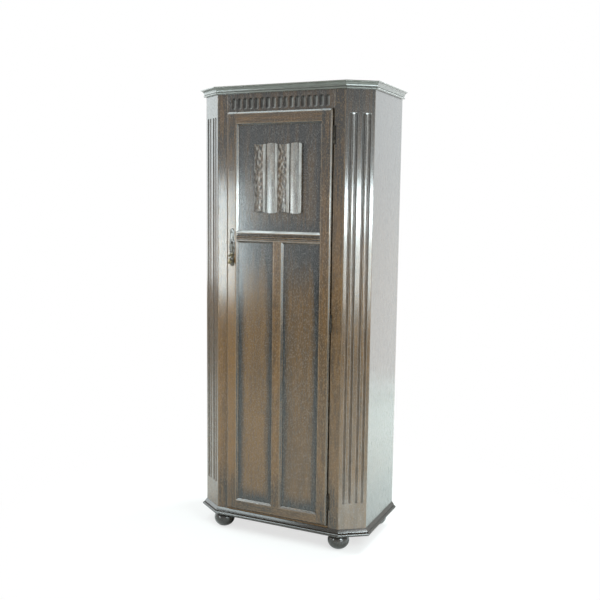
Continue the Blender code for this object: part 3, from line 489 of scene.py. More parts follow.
def place_group(tree, name, **sources):
    """Places a shared effect in a material, plugs its inputs and gives its outputs."""
    if name not in bpy.data.node_groups:
        new_group(name)
    node = add_node(tree, "ShaderNodeGroup", node_tree=bpy.data.node_groups[name])
    for label, source in sources.items():
        plug(tree, source, node.inputs[label])
    return node.outputs


def start_material(name):
    """A new material; gives its tree and its Principled BSDF."""
    material = bpy.data.materials.new(name)
    material.use_nodes = True
    return material, material.node_tree, material.node_tree.nodes["Principled BSDF"]


def read_attribute(tree, name):
    """An Attribute node that reads one of the piece's own attributes."""
    return add_node(tree, "ShaderNodeAttribute", attribute_name=name)


def bump(tree, shader, height, strength, distance):
    """Feeds a height into a shader's normal."""
    node = add_node(tree, "ShaderNodeBump")
    node.inputs["Strength"].default_value = strength
    node.inputs["Distance"].default_value = distance
    plug(tree, height, node.inputs["Height"])
    plug(tree, node.outputs[0], shader.inputs["Normal"])


def opaque(value, tone=1.0):
    """A colour property, dimmed to a tone, with full alpha."""
    return (*(tone * part for part in value), 1.0)


class StainedOak(NamedTuple):
    """
    A stained oak: depth and strength of its figure, its three colours, its polish and the polish's IOR.
    """

    relief: float
    figure: float
    dark: str = "stain_dark"
    brown: str = "stain_brown"
    edge: str = "stain_edge"
    gloss: float = 0.15
    coat: float = 1.5


OAKS = {
    # The door's frame and the posts
    "polished_oak": StainedOak(relief=0.1, figure=0.5),
    # The frieze, the canted boards and the middle rail: grey on the cants' worn lips, and grey as painted
    # light, highlight and reflection on the frieze's walls, the middle rail's chamfer and the right cant's
    # foot
    "frieze_oak": StainedOak(relief=0.03, figure=0.3, edge="linen_grey"),
    # The smooth side boards
    "polished_side_oak": StainedOak(relief=0.02, figure=0.08, coat=1.8),
    # The cornice, painted grey as a stand-in for the reflection in its cove
    "cornice_oak": StainedOak(relief=0.01, figure=0.08, brown="cornice_grey", gloss=0.2),
    # The nearly black plinth and feet
    # The door's panels, whose flecks take the grey edge colour as painted glints
    "ebonised_oak": StainedOak(relief=0.01, figure=0.05, gloss=0.12),
    # The door's panels
    "shaded_panel_oak": StainedOak(
        relief=0.08, figure=0.3, dark="panel_dark", brown="panel_brown", edge="linen_grey",
    ),
    # The carved linenfold, pale grey on its round folds and ridges: rubbed wood with a painted sheen and
    # highlight
    "rubbed_linenfold_oak": StainedOak(relief=0.12, figure=0.6, edge="linen_grey"),
}


def stained_oak(context, name):
    """
    Polished stained oak on a piece's own attributes: grain gives the place in the board, finish gives the
    worn arris with painted light, the hollow darkened as painted shade and the glow from dark stain to
    brown, inside gives the unstained faces, and dull gives the carved ones without polish.
    """
    if name in bpy.data.materials:
        return bpy.data.materials[name]
    kind = OAKS[name]
    paint = context.scene.wardrobe_colours
    dark, brown, edge = (opaque(getattr(paint, tone)) for tone in (kind.dark, kind.brown, kind.edge))
    material, tree, shader = start_material(name)
    grain = read_attribute(tree, "grain").outputs["Vector"]
    masks = add_node(tree, "ShaderNodeSeparateXYZ")
    plug(tree, read_attribute(tree, "finish").outputs["Vector"], masks.inputs[0])
    wear_and_painted_light, hollow, brown_share = masks.outputs
    hidden = read_attribute(tree, "inside").outputs["Fac"]
    carved = read_attribute(tree, "dull").outputs["Fac"]
    oak = place_group(tree, "oak_figure", Point=grain)
    wear = place_group(tree, "edge_wear", Point=grain, Edge=wear_and_painted_light, Hollow=hollow)

    centred = math_node(tree, "SUBTRACT", oak["Streak"], 0.5)
    streak = math_node(tree, "MULTIPLY", centred, kind.figure)
    thin = math_node(tree, "ADD", brown_share, streak, True)
    stained = mixed(tree, thin, dark, brown)
    # Pale oak flecks in the edge colour, greyed so that they also stand for glints, a painted highlight
    rays = math_node(tree, "MULTIPLY", oak["Rays"], FLECK_SHARE * kind.figure)
    flecked = mixed(tree, rays, stained, edge)
    pores = math_node(tree, "MULTIPLY", oak["Pores"], PORE_SHARE)
    porous = mixed(tree, pores, flecked, dark)
    # Worn edges in the edge colour, which on pale pieces is also painted light, highlight and reflection
    worn = math_node(tree, "MULTIPLY", wear["Worn"], WORN_SHARE)
    edged = mixed(tree, worn, porous, edge)
    # Painted shade: the hollow mask darkens the colour towards the dark stain
    painted_shade = mixed(tree, wear["Grime"], edged, dark)
    bare_pores = opaque(paint.plain_oak, BARE_PORE_TONE)
    bare = mixed(tree, oak["Pores"], opaque(paint.plain_oak), bare_pores)
    plug(tree, mixed(tree, hidden, painted_shade, bare), shader.inputs["Base Color"])

    polish = ramp(tree, oak["Pores"], 0.0, 1.0, POLISH_ROUGH, PORE_ROUGH)
    unpolished = math_node(tree, "MAXIMUM", hidden, carved)
    rougher = math_node(tree, "MULTIPLY", unpolished, CARVED_ROUGH)
    plug(tree, math_node(tree, "ADD", polish, rougher), shader.inputs["Roughness"])
    broken = math_node(tree, "MULTIPLY", oak["Rays"], BROKEN_COAT + BROKEN_BY_FIGURE * kind.figure)
    bare_share = math_node(tree, "MAXIMUM", unpolished, broken)
    plug(tree, math_node(tree, "SUBTRACT", 1.0, bare_share, True), shader.inputs["Coat Weight"])
    shader.inputs["Specular IOR Level"].default_value = OAK_SPECULAR
    shader.inputs["Coat Roughness"].default_value = kind.gloss
    shader.inputs["Coat IOR"].default_value = kind.coat
    bump(tree, shader, oak["Height"], strength=kind.relief, distance=0.0006)
    arrange(tree)
    return material


def plain_wood(name, tone, turn, rough):
    """Plain wood on object coordinates, with its grain upright or along the axis that a turn lays it on."""
    if name in bpy.data.materials:
        return bpy.data.materials[name]
    material, tree, shader = start_material(name)
    mapping = add_node(tree, "ShaderNodeMapping")
    plug(tree, add_node(tree, "ShaderNodeTexCoord").outputs["Object"], mapping.inputs["Vector"])
    mapping.inputs["Rotation"].default_value = turn
    oak = place_group(tree, "oak_figure", Point=mapping.outputs[0])
    streaked = mixed(tree, oak["Streak"], opaque(tone, STREAK_TONE), opaque(tone))
    pores = math_node(tree, "MULTIPLY", oak["Pores"], PLAIN_PORE_SHARE)
    porous = mixed(tree, pores, streaked, opaque(tone, PLAIN_PORE_TONE))
    plug(tree, porous, shader.inputs["Base Color"])
    roughness = ramp(tree, oak["Pores"], 0.0, 1.0, rough, rough + PLAIN_PORE_ROUGH)
    plug(tree, roughness, shader.inputs["Roughness"])
    bump(tree, shader, oak["Height"], strength=0.3, distance=0.0004)
    arrange(tree)
    return material


class OldMetal(NamedTuple):
    """An old metal: its tarnished and rubbed colours, its roughness and the share of lacquer on it."""

    dark: str
    bright: str
    rough: float
    lacquer: float = 0.0


METALS = {
    # The drop, its stud, the strike plate and the bolt
    "tarnished_brass": OldMetal("brass_dark", "brass_bright", rough=0.34),
    # The backplate and its screws
    "blackened_brass": OldMetal("brass_dark", "brass_black", rough=0.3, lacquer=1.0),
    # The hinges and their pins
    "blackened_iron": OldMetal("iron_dark", "iron_bright", rough=0.4),
    # The rail, its brackets and the lock case
    "dull_steel": OldMetal("steel_dark", "steel_bright", rough=0.38),
}


def old_metal(context, name):
    """
    Old metal on object coordinates: tarnish in clouds, brighter where it is rubbed, scratched, lacquered.
    """
    if name in bpy.data.materials:
        return bpy.data.materials[name]
    kind = METALS[name]
    paint = context.scene.wardrobe_colours
    dark, bright = (opaque(getattr(paint, tone)) for tone in (kind.dark, kind.bright))
    material, tree, shader = start_material(name)
    point = add_node(tree, "ShaderNodeTexCoord").outputs["Object"]
    patina = place_group(tree, "metal_patina", Point=point)
    clouded = mixed(tree, patina["Tarnish"], bright, dark)
    scratched = math_node(tree, "MULTIPLY", patina["Scratch"], SCRATCH_SHARE)
    plug(tree, mixed(tree, scratched, clouded, bright), shader.inputs["Base Color"])
    roughness = ramp(tree, patina["Tarnish"], 0.0, 1.0, kind.rough, kind.rough + TARNISH_ROUGH)
    plug(tree, roughness, shader.inputs["Roughness"])
    shader.inputs["Metallic"].default_value = 1.0
    if kind.lacquer:
        handled = read_attribute(tree, "dull").outputs["Fac"]
        left = math_node(tree, "SUBTRACT", kind.lacquer, handled, True)
        plug(tree, left, shader.inputs["Coat Weight"])
    shader.inputs["Coat Roughness"].default_value = LACQUER_ROUGH
    bump(tree, shader, patina["Height"], strength=0.2, distance=0.0003)
    arrange(tree)
    return material


# Surfaces


def closed_mesh(name, points, wrap_rows=False, capped=True):
    """
    A closed mesh from a grid of points. Each row is a closed ring, and rows follow one another along the
    piece. The last row joins the first, or flat caps close both ends, or both ends are poles that merge.
    """
    rows, columns = points.shape[:2]
    index = np.arange(rows * columns).reshape(rows, columns)
    near = index if wrap_rows else index[:-1]
    far = np.roll(index, -1, axis=0) if wrap_rows else index[1:]
    quads = np.stack([near, np.roll(near, -1, axis=1), np.roll(far, -1, axis=1), far], axis=-1)
    faces = quads.reshape(-1, 4).tolist()
    if capped and not wrap_rows:
        faces += [index[0].tolist(), index[-1].tolist()]
    mesh = bpy.data.meshes.new(name)
    mesh.from_pydata(points.reshape(-1, 3), [], faces)
    return mesh


def turn_outwards(mesh):
    """Merges a closed mesh's doubles and turns its faces outwards."""
    shape = bmesh.new()
    shape.from_mesh(mesh)
    bmesh.ops.remove_doubles(shape, verts=shape.verts, dist=MERGE)
    bmesh.ops.recalc_face_normals(shape, faces=shape.faces)
    shape.to_mesh(mesh)
    shape.free()


def linked(name, data):
    """A new object in the scene."""
    thing = bpy.data.objects.new(name, data)
    bpy.context.scene.collection.objects.link(thing)
    return thing


def add_piece(name, points, looks, material, body, nodes, wrap_rows=False, capped=True):
    """Makes one closed piece from a grid of points and its looks, for a body, in place of CAD nodes."""
    mesh = closed_mesh(name, points, wrap_rows, capped)
    grain = looks["grain"] + OAK_STEP * next(PIECE_NUMBER)
    for label, kind, key, values in (
        ("grain", "FLOAT_VECTOR", "vector", grain),
        ("finish", "FLOAT_VECTOR", "vector", looks["finish"]),
        ("inside", "FLOAT", "value", looks["inside"]),
        ("dull", "FLOAT", "value", looks["dull"]),
    ):
        attribute = mesh.attributes.new(label, kind, "POINT")
        attribute.data.foreach_set(key, np.ascontiguousarray(values, np.float32).ravel())
    turn_outwards(mesh)
    mesh.shade_smooth()
    mesh.set_sharp_from_angle(angle=SMOOTH_BELOW)
    mesh.materials.append(material)
    piece = linked(name, mesh)
    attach(piece, body)
    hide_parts(*nodes)


def climb(value, low, high):
    """Goes evenly from zero at low to one at high, and stays there past them."""
    return np.clip((value - low) / (high - low), 0, 1)


def smooth_step(part):
    """Three times the square less twice the cube of a part, kept between zero and one."""
    part = np.clip(part, 0, 1)
    return part * part * (3 - 2 * part)


def rubbed(points, glow, foot=FOOT_SHARE):
    """The glow of a front piece: smooth steps make it darker towards the top and towards the foot."""
    height = points[..., 2]
    below = smooth_step(climb(height, DARK_ABOVE, GLOW_FULL_BELOW))
    above = smooth_step(climb(height, DARK_BELOW, GLOW_FULL_ABOVE))
    return glow * (TOP_SHARE + (1 - TOP_SHARE) * below) * (foot + (1 - foot) * above)


def plain_looks(points, glow=0.5, edge=0.0, hollow=0.0, inside=0.0, grain=None, dull=0.0):
    """The attributes of a grid of points, from plain values or from arrays that fit the grid."""
    shape = points.shape[:2]
    finish = np.stack([np.broadcast_to(part, shape) for part in (edge, hollow, glow)], axis=-1)
    return {
        "grain": points if grain is None else grain,
        "finish": finish,
        "inside": np.broadcast_to(inside, shape),
        "dull": np.broadcast_to(dull, shape),
    }


def softened(outline, radius, steps=3):
    """
    Rounds a closed outline: each corner becomes a quadratic curve between two points set back from it
    along its sides, with a guard point three times as far back on each side. Gives the points, how much
    each is an outer arris, and how much each lies in an inner corner, for corners that turn by 20 degrees
    to 60 and more.
    """
    outline = np.asarray(outline, float)
    before = np.roll(outline, 1, axis=0) - outline
    after = np.roll(outline, -1, axis=0) - outline
    before_length = np.linalg.norm(before, axis=1, keepdims=True)
    after_length = np.linalg.norm(after, axis=1, keepdims=True)
    before = before / before_length
    after = after / after_length
    back = np.minimum(radius, ROUNDED_SHARE * np.minimum(before_length, after_length))
    part = np.linspace(0, 1, steps + 1)[None, :, None]
    start = (outline + before * back)[:, None]
    end = (outline + after * back)[:, None]
    curve = (1 - part) ** 2 * start + 2 * part * (1 - part) * outline[:, None] + part ** 2 * end
    first = outline + before * np.minimum(GUARD_TIMES * back, GUARD_SHARE * before_length)
    last = outline + after * np.minimum(GUARD_TIMES * back, GUARD_SHARE * after_length)
    ring = np.concatenate([first[:, None], curve, last[:, None]], axis=1)
    turn = np.arcsin(np.clip(before[:, 0] * after[:, 1] - before[:, 1] * after[:, 0], -1, 1))
    following = np.roll(outline, -1, axis=0)
    area = np.sum(outline[:, 0] * following[:, 1] - following[:, 0] * outline[:, 1])
    sharp = -np.sign(area) * climb(np.degrees(np.abs(turn)), 20, 60) * np.sign(turn)
    fade = np.concatenate([[0], np.full(steps + 1, 1.0), [0]])
    edge = np.clip(sharp, 0, 1)[:, None] * fade
    hollow = np.clip(-sharp, 0, 1)[:, None] * fade
    return ring.reshape(-1, 2), edge.ravel(), hollow.ravel()


def carried(ring, start, end, origin, across, deep, along, stations=2):
    """
    Carries a flat ring along a straight line: a point is the origin plus the ring's two coordinates along
    across and deep, plus a length along the line that goes evenly from that ring point's start to its
    end. Gives the points and their places in the wood: the two coordinates and the length.
    """
    part = np.linspace(0, 1, stations)[:, None]
    run = np.broadcast_to(start, len(ring)) * (1 - part) + np.broadcast_to(end, len(ring)) * part
    points = origin + ring[None, :, :1] * across + ring[None, :, 1:] * deep + run[..., None] * along
    flat = np.broadcast_to(ring[None], (stations, *ring.shape))
    grain = np.concatenate([flat, run[..., None]], axis=-1)
    return points, grain


def spun(profile, origin, axis, side, third, steps):
    """
    Turns a profile of radius and height about an axis: a point is the origin plus the height along the
    axis plus the radius along a direction that goes round from side to third.
    """
    profile = np.asarray(profile, float)
    angle = np.linspace(0, 2 * math.pi, steps, endpoint=False)[None, :, None]
    round_way = np.cos(angle) * side + np.sin(angle) * third
    return origin + profile[:, None, 1:] * axis + profile[:, None, :1] * round_way


def arc(centre, radius, first, last, steps):
    """Points of an arc between two angles in degrees."""
    angle = np.radians(np.linspace(first, last, steps + 1))
    return np.stack([centre[0] + radius * np.cos(angle), centre[1] + radius * np.sin(angle)], axis=1)


def ellipse_part(centre, run, rise, first, last, steps):
    """Points of part of an ellipse between two angles in degrees."""
    return np.array(centre) + arc((0, 0), 1.0, first, last, steps) * (run, rise)


def joined(*parts):
    """Joins points and runs of points into one outline."""
    return np.concatenate([np.atleast_2d(np.asarray(part, float)) for part in parts])


def plan_path(sizes):
    """Plan corners of the carcass from the left back corner round the front to the right back corner."""
    front = lowest("frieze_rail", "y")
    back = highest("back_panel", "y")
    shoulder = front + sizes.cant_setback
    right = np.array(((sizes.front_half, front), (sizes.body_half, shoulder), (sizes.body_half, back)))
    return joined(right[::-1] * (-1, 1), right)


def moved_in(path, distance):
    """
    Moves an open path to its inner side: a corner moves by the sum of its two normals over one plus their
    dot product.
    """
    steps = np.diff(path, axis=0)
    normals = np.stack([-steps[:, 1], steps[:, 0]], axis=1) / np.linalg.norm(steps, axis=1, keepdims=True)
    first = np.concatenate([normals[:1], normals])
    second = np.concatenate([normals, normals[-1:]])
    return path + distance * (first + second) / (1 + np.sum(first * second, axis=1, keepdims=True))


class BuildOperator:
    """What every building operator shares."""

    bl_options = {"REGISTER", "UNDO"}

    def execute(self, context):
        self.build(context, context.scene.wardrobe_sizes)
        return {"FINISHED"}


def cut_out(context, piece_name, outline, span, origin, across, deep, along):
    """Cuts an outline, carried along a straight line, out of a finished piece."""
    piece = bpy.data.objects[piece_name]
    points = carried(outline, span[0], span[1], origin, across, deep, along)[0]
    cutter = closed_mesh("cutter", points)
    turn_outwards(cutter)
    tool = linked("cutter", cutter)
    step = piece.modifiers.new("cut", "BOOLEAN")
    step.operation = "DIFFERENCE"
    step.object = tool
    step.solver = "EXACT"
    graph = context.evaluated_depsgraph_get()
    cut = bpy.data.meshes.new_from_object(piece.evaluated_get(graph))
    piece.modifiers.clear()
    piece.data = cut
    bpy.data.objects.remove(tool)


class WARDROBE_OT_side_boards(BuildOperator, bpy.types.Operator):
    """Makes the two side boards and the two front posts"""

    bl_idname = "wardrobe.side_boards"
    bl_label = "Side boards and posts"

    def build(self, context, sizes):
        path = plan_path(sizes)
        arris, shoulder, back = path[3:]
        inner_arris, inner_shoulder, inner_back = moved_in(path, sizes.board)[3:]
        rebate_x = sizes.body_half - sizes.board + sizes.back_rebate
        rebate_y = lowest("back_panel", "y") - SEAT
        opening = highest("frieze_rail", "x") + SEAT
        gap = SEAT / 2
        side_outline = joined(
            shoulder + (0, gap), back, (rebate_x, back[1]), (rebate_x, rebate_y),
            (inner_back[0], rebate_y), inner_shoulder + (0, gap),
        )
        post_outline = joined(
            arris - (gap, 0), inner_arris - (gap, 0), (opening, inner_arris[1]), (opening, arris[1]),
        )
        side_oak = stained_oak(context, "polished_side_oak")
        post_oak = stained_oak(context, "polished_oak")
        for side, name, post_glow in ((-1, "left", 0.85), (1, "right", 0.55)):
            mirror = (side, 1)
            node = name + "_side_panel"
            self.board(sizes, name + "_side_board", side_outline * mirror, node, side, side_oak, glow=0.3)
            node = name + "_front_post"
            self.board(sizes, name + "_post", post_outline * mirror, node, 0, post_oak, glow=post_glow)
        self.cut_pocket(context, sizes, -opening)

    def board(self, sizes, name, outline, node, side, finish, glow):
        """
        An upright board: its softened plan outline carried from the node's foot to its head. Its inside
        is towards the middle of a side board, and towards the back of a post, whose side is nought.
        """
        ring, edge, hollow = softened(outline, sizes.arris)
        foot, head = corners(node)[:, 2]
        points, grain = carried(ring, foot, head, 0 * UP, RIGHT, BACKWARD, UP, BOARD_ROWS)
        if side:
            inside = side * ring[:, 0] < sizes.body_half - sizes.board + SEAT
        else:
            inside = ring[:, 1] > lowest(node, "y") + sizes.board - SEAT
        worn = BOARD_WEAR * edge
        looks = plain_looks(points, rubbed(points, glow), worn, hollow, inside.astype(float), grain)
        add_piece(name, points, looks, finish, "carcass", [node])

    def cut_pocket(self, context, sizes, face):
        """Cuts the pocket for the lock's bolt into the left post's face."""
        low, high = corners("lock_bolt")
        middle = (low + high) / 2 * (BACKWARD + UP)
        half = ((high - low) / 2 + 2 * SEAT)[1:]
        outline = half * np.array(((-1, -1), (1, -1), (1, 1), (-1, 1)))
        depths = (face - sizes.bolt_pocket, face + sizes.bolt_pocket)
        cut_out(context, "left_post", outline, depths, middle, BACKWARD, UP, RIGHT)


class Flutes(NamedTuple):
    """
    A row of flutes: their middles across a board, the gouge's radius and depth, and the heights of their
    ends.
    """

    centres: np.ndarray
    radius: float
    depth: float
    low: float
    high: float


def gouge_depth(across, up, centre, flutes):
    """
    Depth of a round-ended flute: the gouge is a ball of the radius drawn from low to high along a line
    that lies the radius less the depth outside the face. Gives the depth, the distance from the flute's
    line, and how far the wall leans to the upper left: one at the lower right, minus one at the upper
    left.
    """
    radius = flutes.radius
    past_end = np.maximum(up - flutes.high + radius, 0) - np.maximum(flutes.low + radius - up, 0)
    away = np.hypot(across - centre, past_end)
    sunk = np.sqrt(np.maximum(radius ** 2 - away ** 2, 0)) - (radius - flutes.depth)
    lean = (LIGHT_ACROSS * (across - centre) - LIGHT_UP * past_end) / radius
    return np.maximum(sunk, 0), away, lean


def reed_depth(face, rows, flutes, lip, fall):
    """
    Depth of the rounded strip between the two flutes of each pair: a parabola that falls from a quarter
    of the fall at its middle to the whole at the flutes' lips, and dies out towards the flutes' ends.
    """
    first, second = flutes.centres[0::2], flutes.centres[1::2]
    half = (second[0] - first[0]) / 2 - lip
    away = np.min(np.abs(face[:, None] - (first + second) / 2), axis=1)
    across = np.where(away < half + REED_OVERLAP, fall * (0.25 + 0.75 * (away / half) ** 2), 0)
    ends = climb(np.minimum(rows - flutes.low, flutes.high - rows), 0, REED_END)
    return ends[:, None] * across[None]


def fluted_ring(half_front, half_back, board, flutes, foot, head, reed=0.0):
    """
    Rows of a fluted board: across the face, points crowd at each flute, and up the board, rows crowd at
    the flutes' ends. The face is sunk by the deepest gouge, and two more points close the ring at the
    back. Gives the grids of across, sunk and up, the masks of the flutes' lips and hollows, the lean of
    their walls, and the mask of the back.
    """
    centres, radius, depth, low, high = flutes
    spread = np.sin(np.linspace(-math.pi / 2, math.pi / 2, 13)) * radius * 1.02
    beside = np.array((-1.4, -1.2, -1.06, 1.06, 1.2, 1.4)) * radius
    near_flutes = (centres[:, None] + np.concatenate([spread, beside])).ravel()
    rim = half_front - np.array((0.0, 0.0006, 0.0018))
    face = np.unique(np.round(np.concatenate([near_flutes, rim, -rim]), 6))
    bend = (1 - np.cos(np.linspace(0, math.pi / 2, 9))) * radius
    between = np.linspace(low + radius, high - radius, 12)[1:-1]
    beyond = np.array((0.0003, 0.002))
    rows = np.concatenate(
        [[foot], low - beyond[::-1], low + bend, between, high - bend[::-1], high + beyond, [head]]
    )
    lip = math.sqrt(radius ** 2 - (radius - depth) ** 2)
    sunk, edge, hollow, lean = np.zeros((4, len(rows), len(face)))
    for centre in centres:
        cut, away, facing = gouge_depth(face[None], rows[:, None], centre, flutes)
        sunk = np.maximum(sunk, cut)
        edge = np.maximum(edge, np.exp(-((away - lip) / LIP_REACH) ** 2))
        hollow = np.maximum(hollow, np.clip(cut / depth, 0, 1))
        lean = np.where(cut > 0, facing, lean)
    if reed:
        sunk = np.maximum(sunk, reed_depth(face, rows, flutes, lip, reed))
    edge[:, (0, -1)] = 1
    sunk[:, (0, -1)] = FLUTED_ARRIS
    back = ((0, 0), (0, 2))
    sunk = np.pad(sunk, back, constant_values=board)
    inside = np.pad(np.zeros_like(edge), back, constant_values=1.0)
    edge, hollow, lean = (np.pad(mask, back) for mask in (edge, hollow, lean))
    across = np.broadcast_to(np.append(face, (half_back, -half_back)), sunk.shape)
    up = np.broadcast_to(rows[:, None], sunk.shape)
    return across, sunk, up, edge, hollow, lean, inside


class WARDROBE_OT_fluted_boards(BuildOperator, bpy.types.Operator):
    """Makes the canted corner boards and the frieze with their carved flutes"""

    bl_idname = "wardrobe.fluted_boards"
    bl_label = "Fluted cants and frieze"

    def build(self, context, sizes):
        outer = plan_path(sizes)
        inner = moved_in(outer, sizes.board)
        right_half = np.array((sizes.cant_flute_inner, sizes.cant_flute_outer))
        flutes = Flutes(
            np.append(-right_half[::-1], right_half), sizes.cant_flute_radius, sizes.cant_flute_depth,
            highest("plinth_front", "z") + sizes.cant_flute_foot,
            lowest("cornice_front", "z") - sizes.cant_flute_head,
        )
        # The right cant's foot is painted pale as a reflection of the floor
        for run, name, foot_wear in ((1, "left_cant", 0.0), (3, "right_cant", 0.3)):
            node = name + "_pilaster"
            span = outer[run + 1] - outer[run]
            wide = np.linalg.norm(span)
            narrow = np.linalg.norm(inner[run + 1] - inner[run])
            half_front, half_back = (whole / 2 - SEAT / 2 for whole in (wide, narrow))
            foot, head = corners(node)[:, 2]
            grids = fluted_ring(half_front, half_back, sizes.board, flutes, foot, head, sizes.cant_reed)
            middle = np.append((outer[run + 1] + outer[run]) / 2, 0)
            # The cants' flute hollows are darkened as painted shade
            self.fluted(
                context, name + "_fluted_board", grids, middle, np.append(span / wide, 0), node,
                glow=0.6, grime=0.6, matt=0.5, foot_wear=foot_wear,
            )

        node = "frieze_rail"
        half = highest(node, "x")
        flute_high = lowest("cornice_front", "z") - sizes.frieze_flute_head
        first = half + SEAT - sizes.frieze_margin
        flutes = Flutes(
            np.linspace(-first, first, sizes.frieze_flutes), sizes.frieze_flute_radius,
            sizes.frieze_flute_depth, flute_high - sizes.frieze_flute_height, flute_high,
        )
        foot, head = corners(node)[:, 2]
        grids = fluted_ring(half, half, sizes.board, flutes, foot, head)
        face = BACKWARD * lowest(node, "y")
        # The frieze's flutes get painted light and shade on their walls
        self.fluted(context, "fluted_frieze", grids, face, RIGHT, node, glow=0.9, pale=1.0, matt=1.0)

    def fluted(
        self, context, name, grids, middle, along, node, glow, matt, grime=0.0, pale=0.0, foot_wear=0.0,
    ):
        """
        Lays the rows of a fluted board along a plan line, sunk to its inner side. Plain flutes are worn
        at their lips and darkened in their hollows as painted shade. Pale ones get painted light and shade:
        pale on the walls that lean to the upper left, dark on the others. The foot can be painted pale as a
        reflection of the floor.
        """
        across, sunk, up, edge, hollow, lean, inside = grids
        deep = np.cross(UP, along)
        points = middle + across[..., None] * along + sunk[..., None] * deep + up[..., None] * UP
        grain = np.stack([across, sunk, up], axis=-1)
        # Painted light and shade: a wall that leans to the light at the upper left is painted pale, the
        # others dark
        lit = climb(lean, SHADED_LEAN, LIT_LEAN)
        walls = climb(hollow, 0, WALL_SHARE)
        # Wear on the lips, and painted light on the lit walls
        worn = np.maximum(FLUTE_WEAR * edge * (1 - pale), pale * walls * lit)
        # Painted reflection of the floor: pale towards the foot
        worn = np.maximum(worn, foot_wear * smooth_step(climb(up, GLOW_FULL_ABOVE, DARK_BELOW)))
        # Painted shade in the hollows and on the shaded walls
        painted_shade = np.maximum(grime * hollow, pale * walls * (1 - lit))
        looks = plain_looks(points, rubbed(points, glow, 1.0), worn, painted_shade, inside, grain, matt * hollow)
        finish = stained_oak(context, "frieze_oak")
        add_piece(name, points, looks, finish, "carcass", [node])


class WARDROBE_OT_mouldings(BuildOperator, bpy.types.Operator):
    """Makes the cornice and the plinth, each in five mitred lengths"""

    bl_idname = "wardrobe.mouldings"
    bl_label = "Cornice and plinth"

    def build(self, context, sizes):
        cornice = self.cornice(sizes)
        plinth = self.plinth(sizes)
        grey = stained_oak(context, "cornice_oak")
        black = stained_oak(context, "ebonised_oak")
        for run, name in enumerate(("left_side", "left_cant", "front", "right_cant", "right_side")):
            node = "cornice_" + name
            self.length_of(sizes, run, node, cornice, sizes.cornice_reach, grey, glow=0.85, dull=0.0)
            node = "plinth_" + name
            worn_matt = 0.8 if name == "right_side" else 0.0
            self.length_of(sizes, run, node, plinth, sizes.plinth_reach, black, glow=0.05, dull=worn_matt)

    def cornice(self, sizes):
        """Top fillet, a quarter ellipse for the cove, a quirk and half a circle for the bead."""
        height = highest("cornice_front", "z") - lowest("cornice_front", "z")
        reach = sizes.cornice_reach
        bead_radius = sizes.cornice_bead
        foot = 2 * bead_radius + sizes.cornice_quirk
        cove_height = height - sizes.cornice_fillet - foot
        cove = ellipse_part((reach, foot), reach - sizes.cornice_cove_in, cove_height, 90, 180, 10)
        bead = arc((sizes.cornice_cove_in - bead_radius / 2, bead_radius), bead_radius, 90, -90, 10)
        quirk = (sizes.cornice_cove_in - bead_radius, foot)
        return joined((SEAT, 0), (SEAT, height), (reach, height), cove, quirk, bead)

    def plinth(self, sizes):
        """Half an ellipse for the nose, a quirk and a slope that bulges by half a sine wave."""
        height = highest("plinth_front", "z") - lowest("plinth_front", "z")
        inner = sizes.plinth_quirk_in
        half = sizes.plinth_nose
        nose = ellipse_part((inner, half), sizes.plinth_reach - inner, half, -90, 90, 16)
        foot = 2 * half + sizes.plinth_quirk
        part = np.linspace(0, 1, 13)
        bulge = sizes.plinth_bulge * np.sin(math.pi * part)
        out = sizes.plinth_slope_in + (SEAT - sizes.plinth_slope_in) * part + bulge
        slope = np.stack([out, foot + (height - foot) * part + bulge], axis=1)
        return joined((SEAT, 0), nose, (inner, foot), slope)

    def length_of(self, sizes, run, node, profile, reach, finish, glow, dull):
        """
        One length: the profile carried along a side of the plan, its ends moved by the profile's reach
        times the mitre's slope.
        """
        path = plan_path(sizes)
        past = (moved_in(path, -reach) - path) / reach
        span = path[run + 1] - path[run]
        whole = np.linalg.norm(span)
        along = span / whole
        outward = np.array((along[1], -along[0]))
        ring, edge, hollow = softened(profile, MOULDING_ARRIS, steps=2)
        start = ring[:, 0] * (past[run] @ along) + SEAT / 2
        end = whole + ring[:, 0] * (past[run + 1] @ along) - SEAT / 2
        origin = np.append(path[run], lowest(node, "z"))
        across, ahead = np.append(outward, 0), np.append(along, 0)
        points, grain = carried(ring, start, end, origin, across, UP, ahead, stations=6)
        looks = plain_looks(points, glow, MOULDING_WEAR * edge, hollow, 0.0, grain, dull)
        add_piece(node + "_moulding", points, looks, finish, "carcass", [node])


class WARDROBE_OT_feet(BuildOperator, bpy.types.Operator):
    """Turns the four bun feet"""

    bl_idname = "wardrobe.feet"
    bl_label = "Bun feet"

    def build(self, context, sizes):
        finish = stained_oak(context, "ebonised_oak")
        for pair in itertools.product(("front", "back"), ("left", "right")):
            node = "bun_foot_%s_%s" % pair
            low, high = corners(node)
            origin = np.append((low + high)[:2] / 2, low[2])
            points = spun(self.profile(sizes, high[2] - low[2]), origin, UP, RIGHT, BACKWARD, steps=56)
            looks = plain_looks(points, glow=0.03, grain=points - origin)
            add_piece("turned_" + node, points, looks, finish, "carcass", [node], capped=False)

    def profile(self, sizes, top):
        """Part of an ellipse from the flat base up to the neck's radius, and a short straight neck."""
        belly = top - sizes.foot_neck
        high = math.acos(sizes.foot_top / sizes.foot_radius)
        low = math.acos(sizes.foot_base / sizes.foot_radius)
        half = belly / (math.sin(high) + math.sin(low))
        middle = (0, half * math.sin(low))
        swell = ellipse_part(middle, sizes.foot_radius, half, -math.degrees(low), math.degrees(high), 30)
        return joined((0, 0), (0.6 * sizes.foot_base, 0), swell, (sizes.foot_top, top), (0, top))


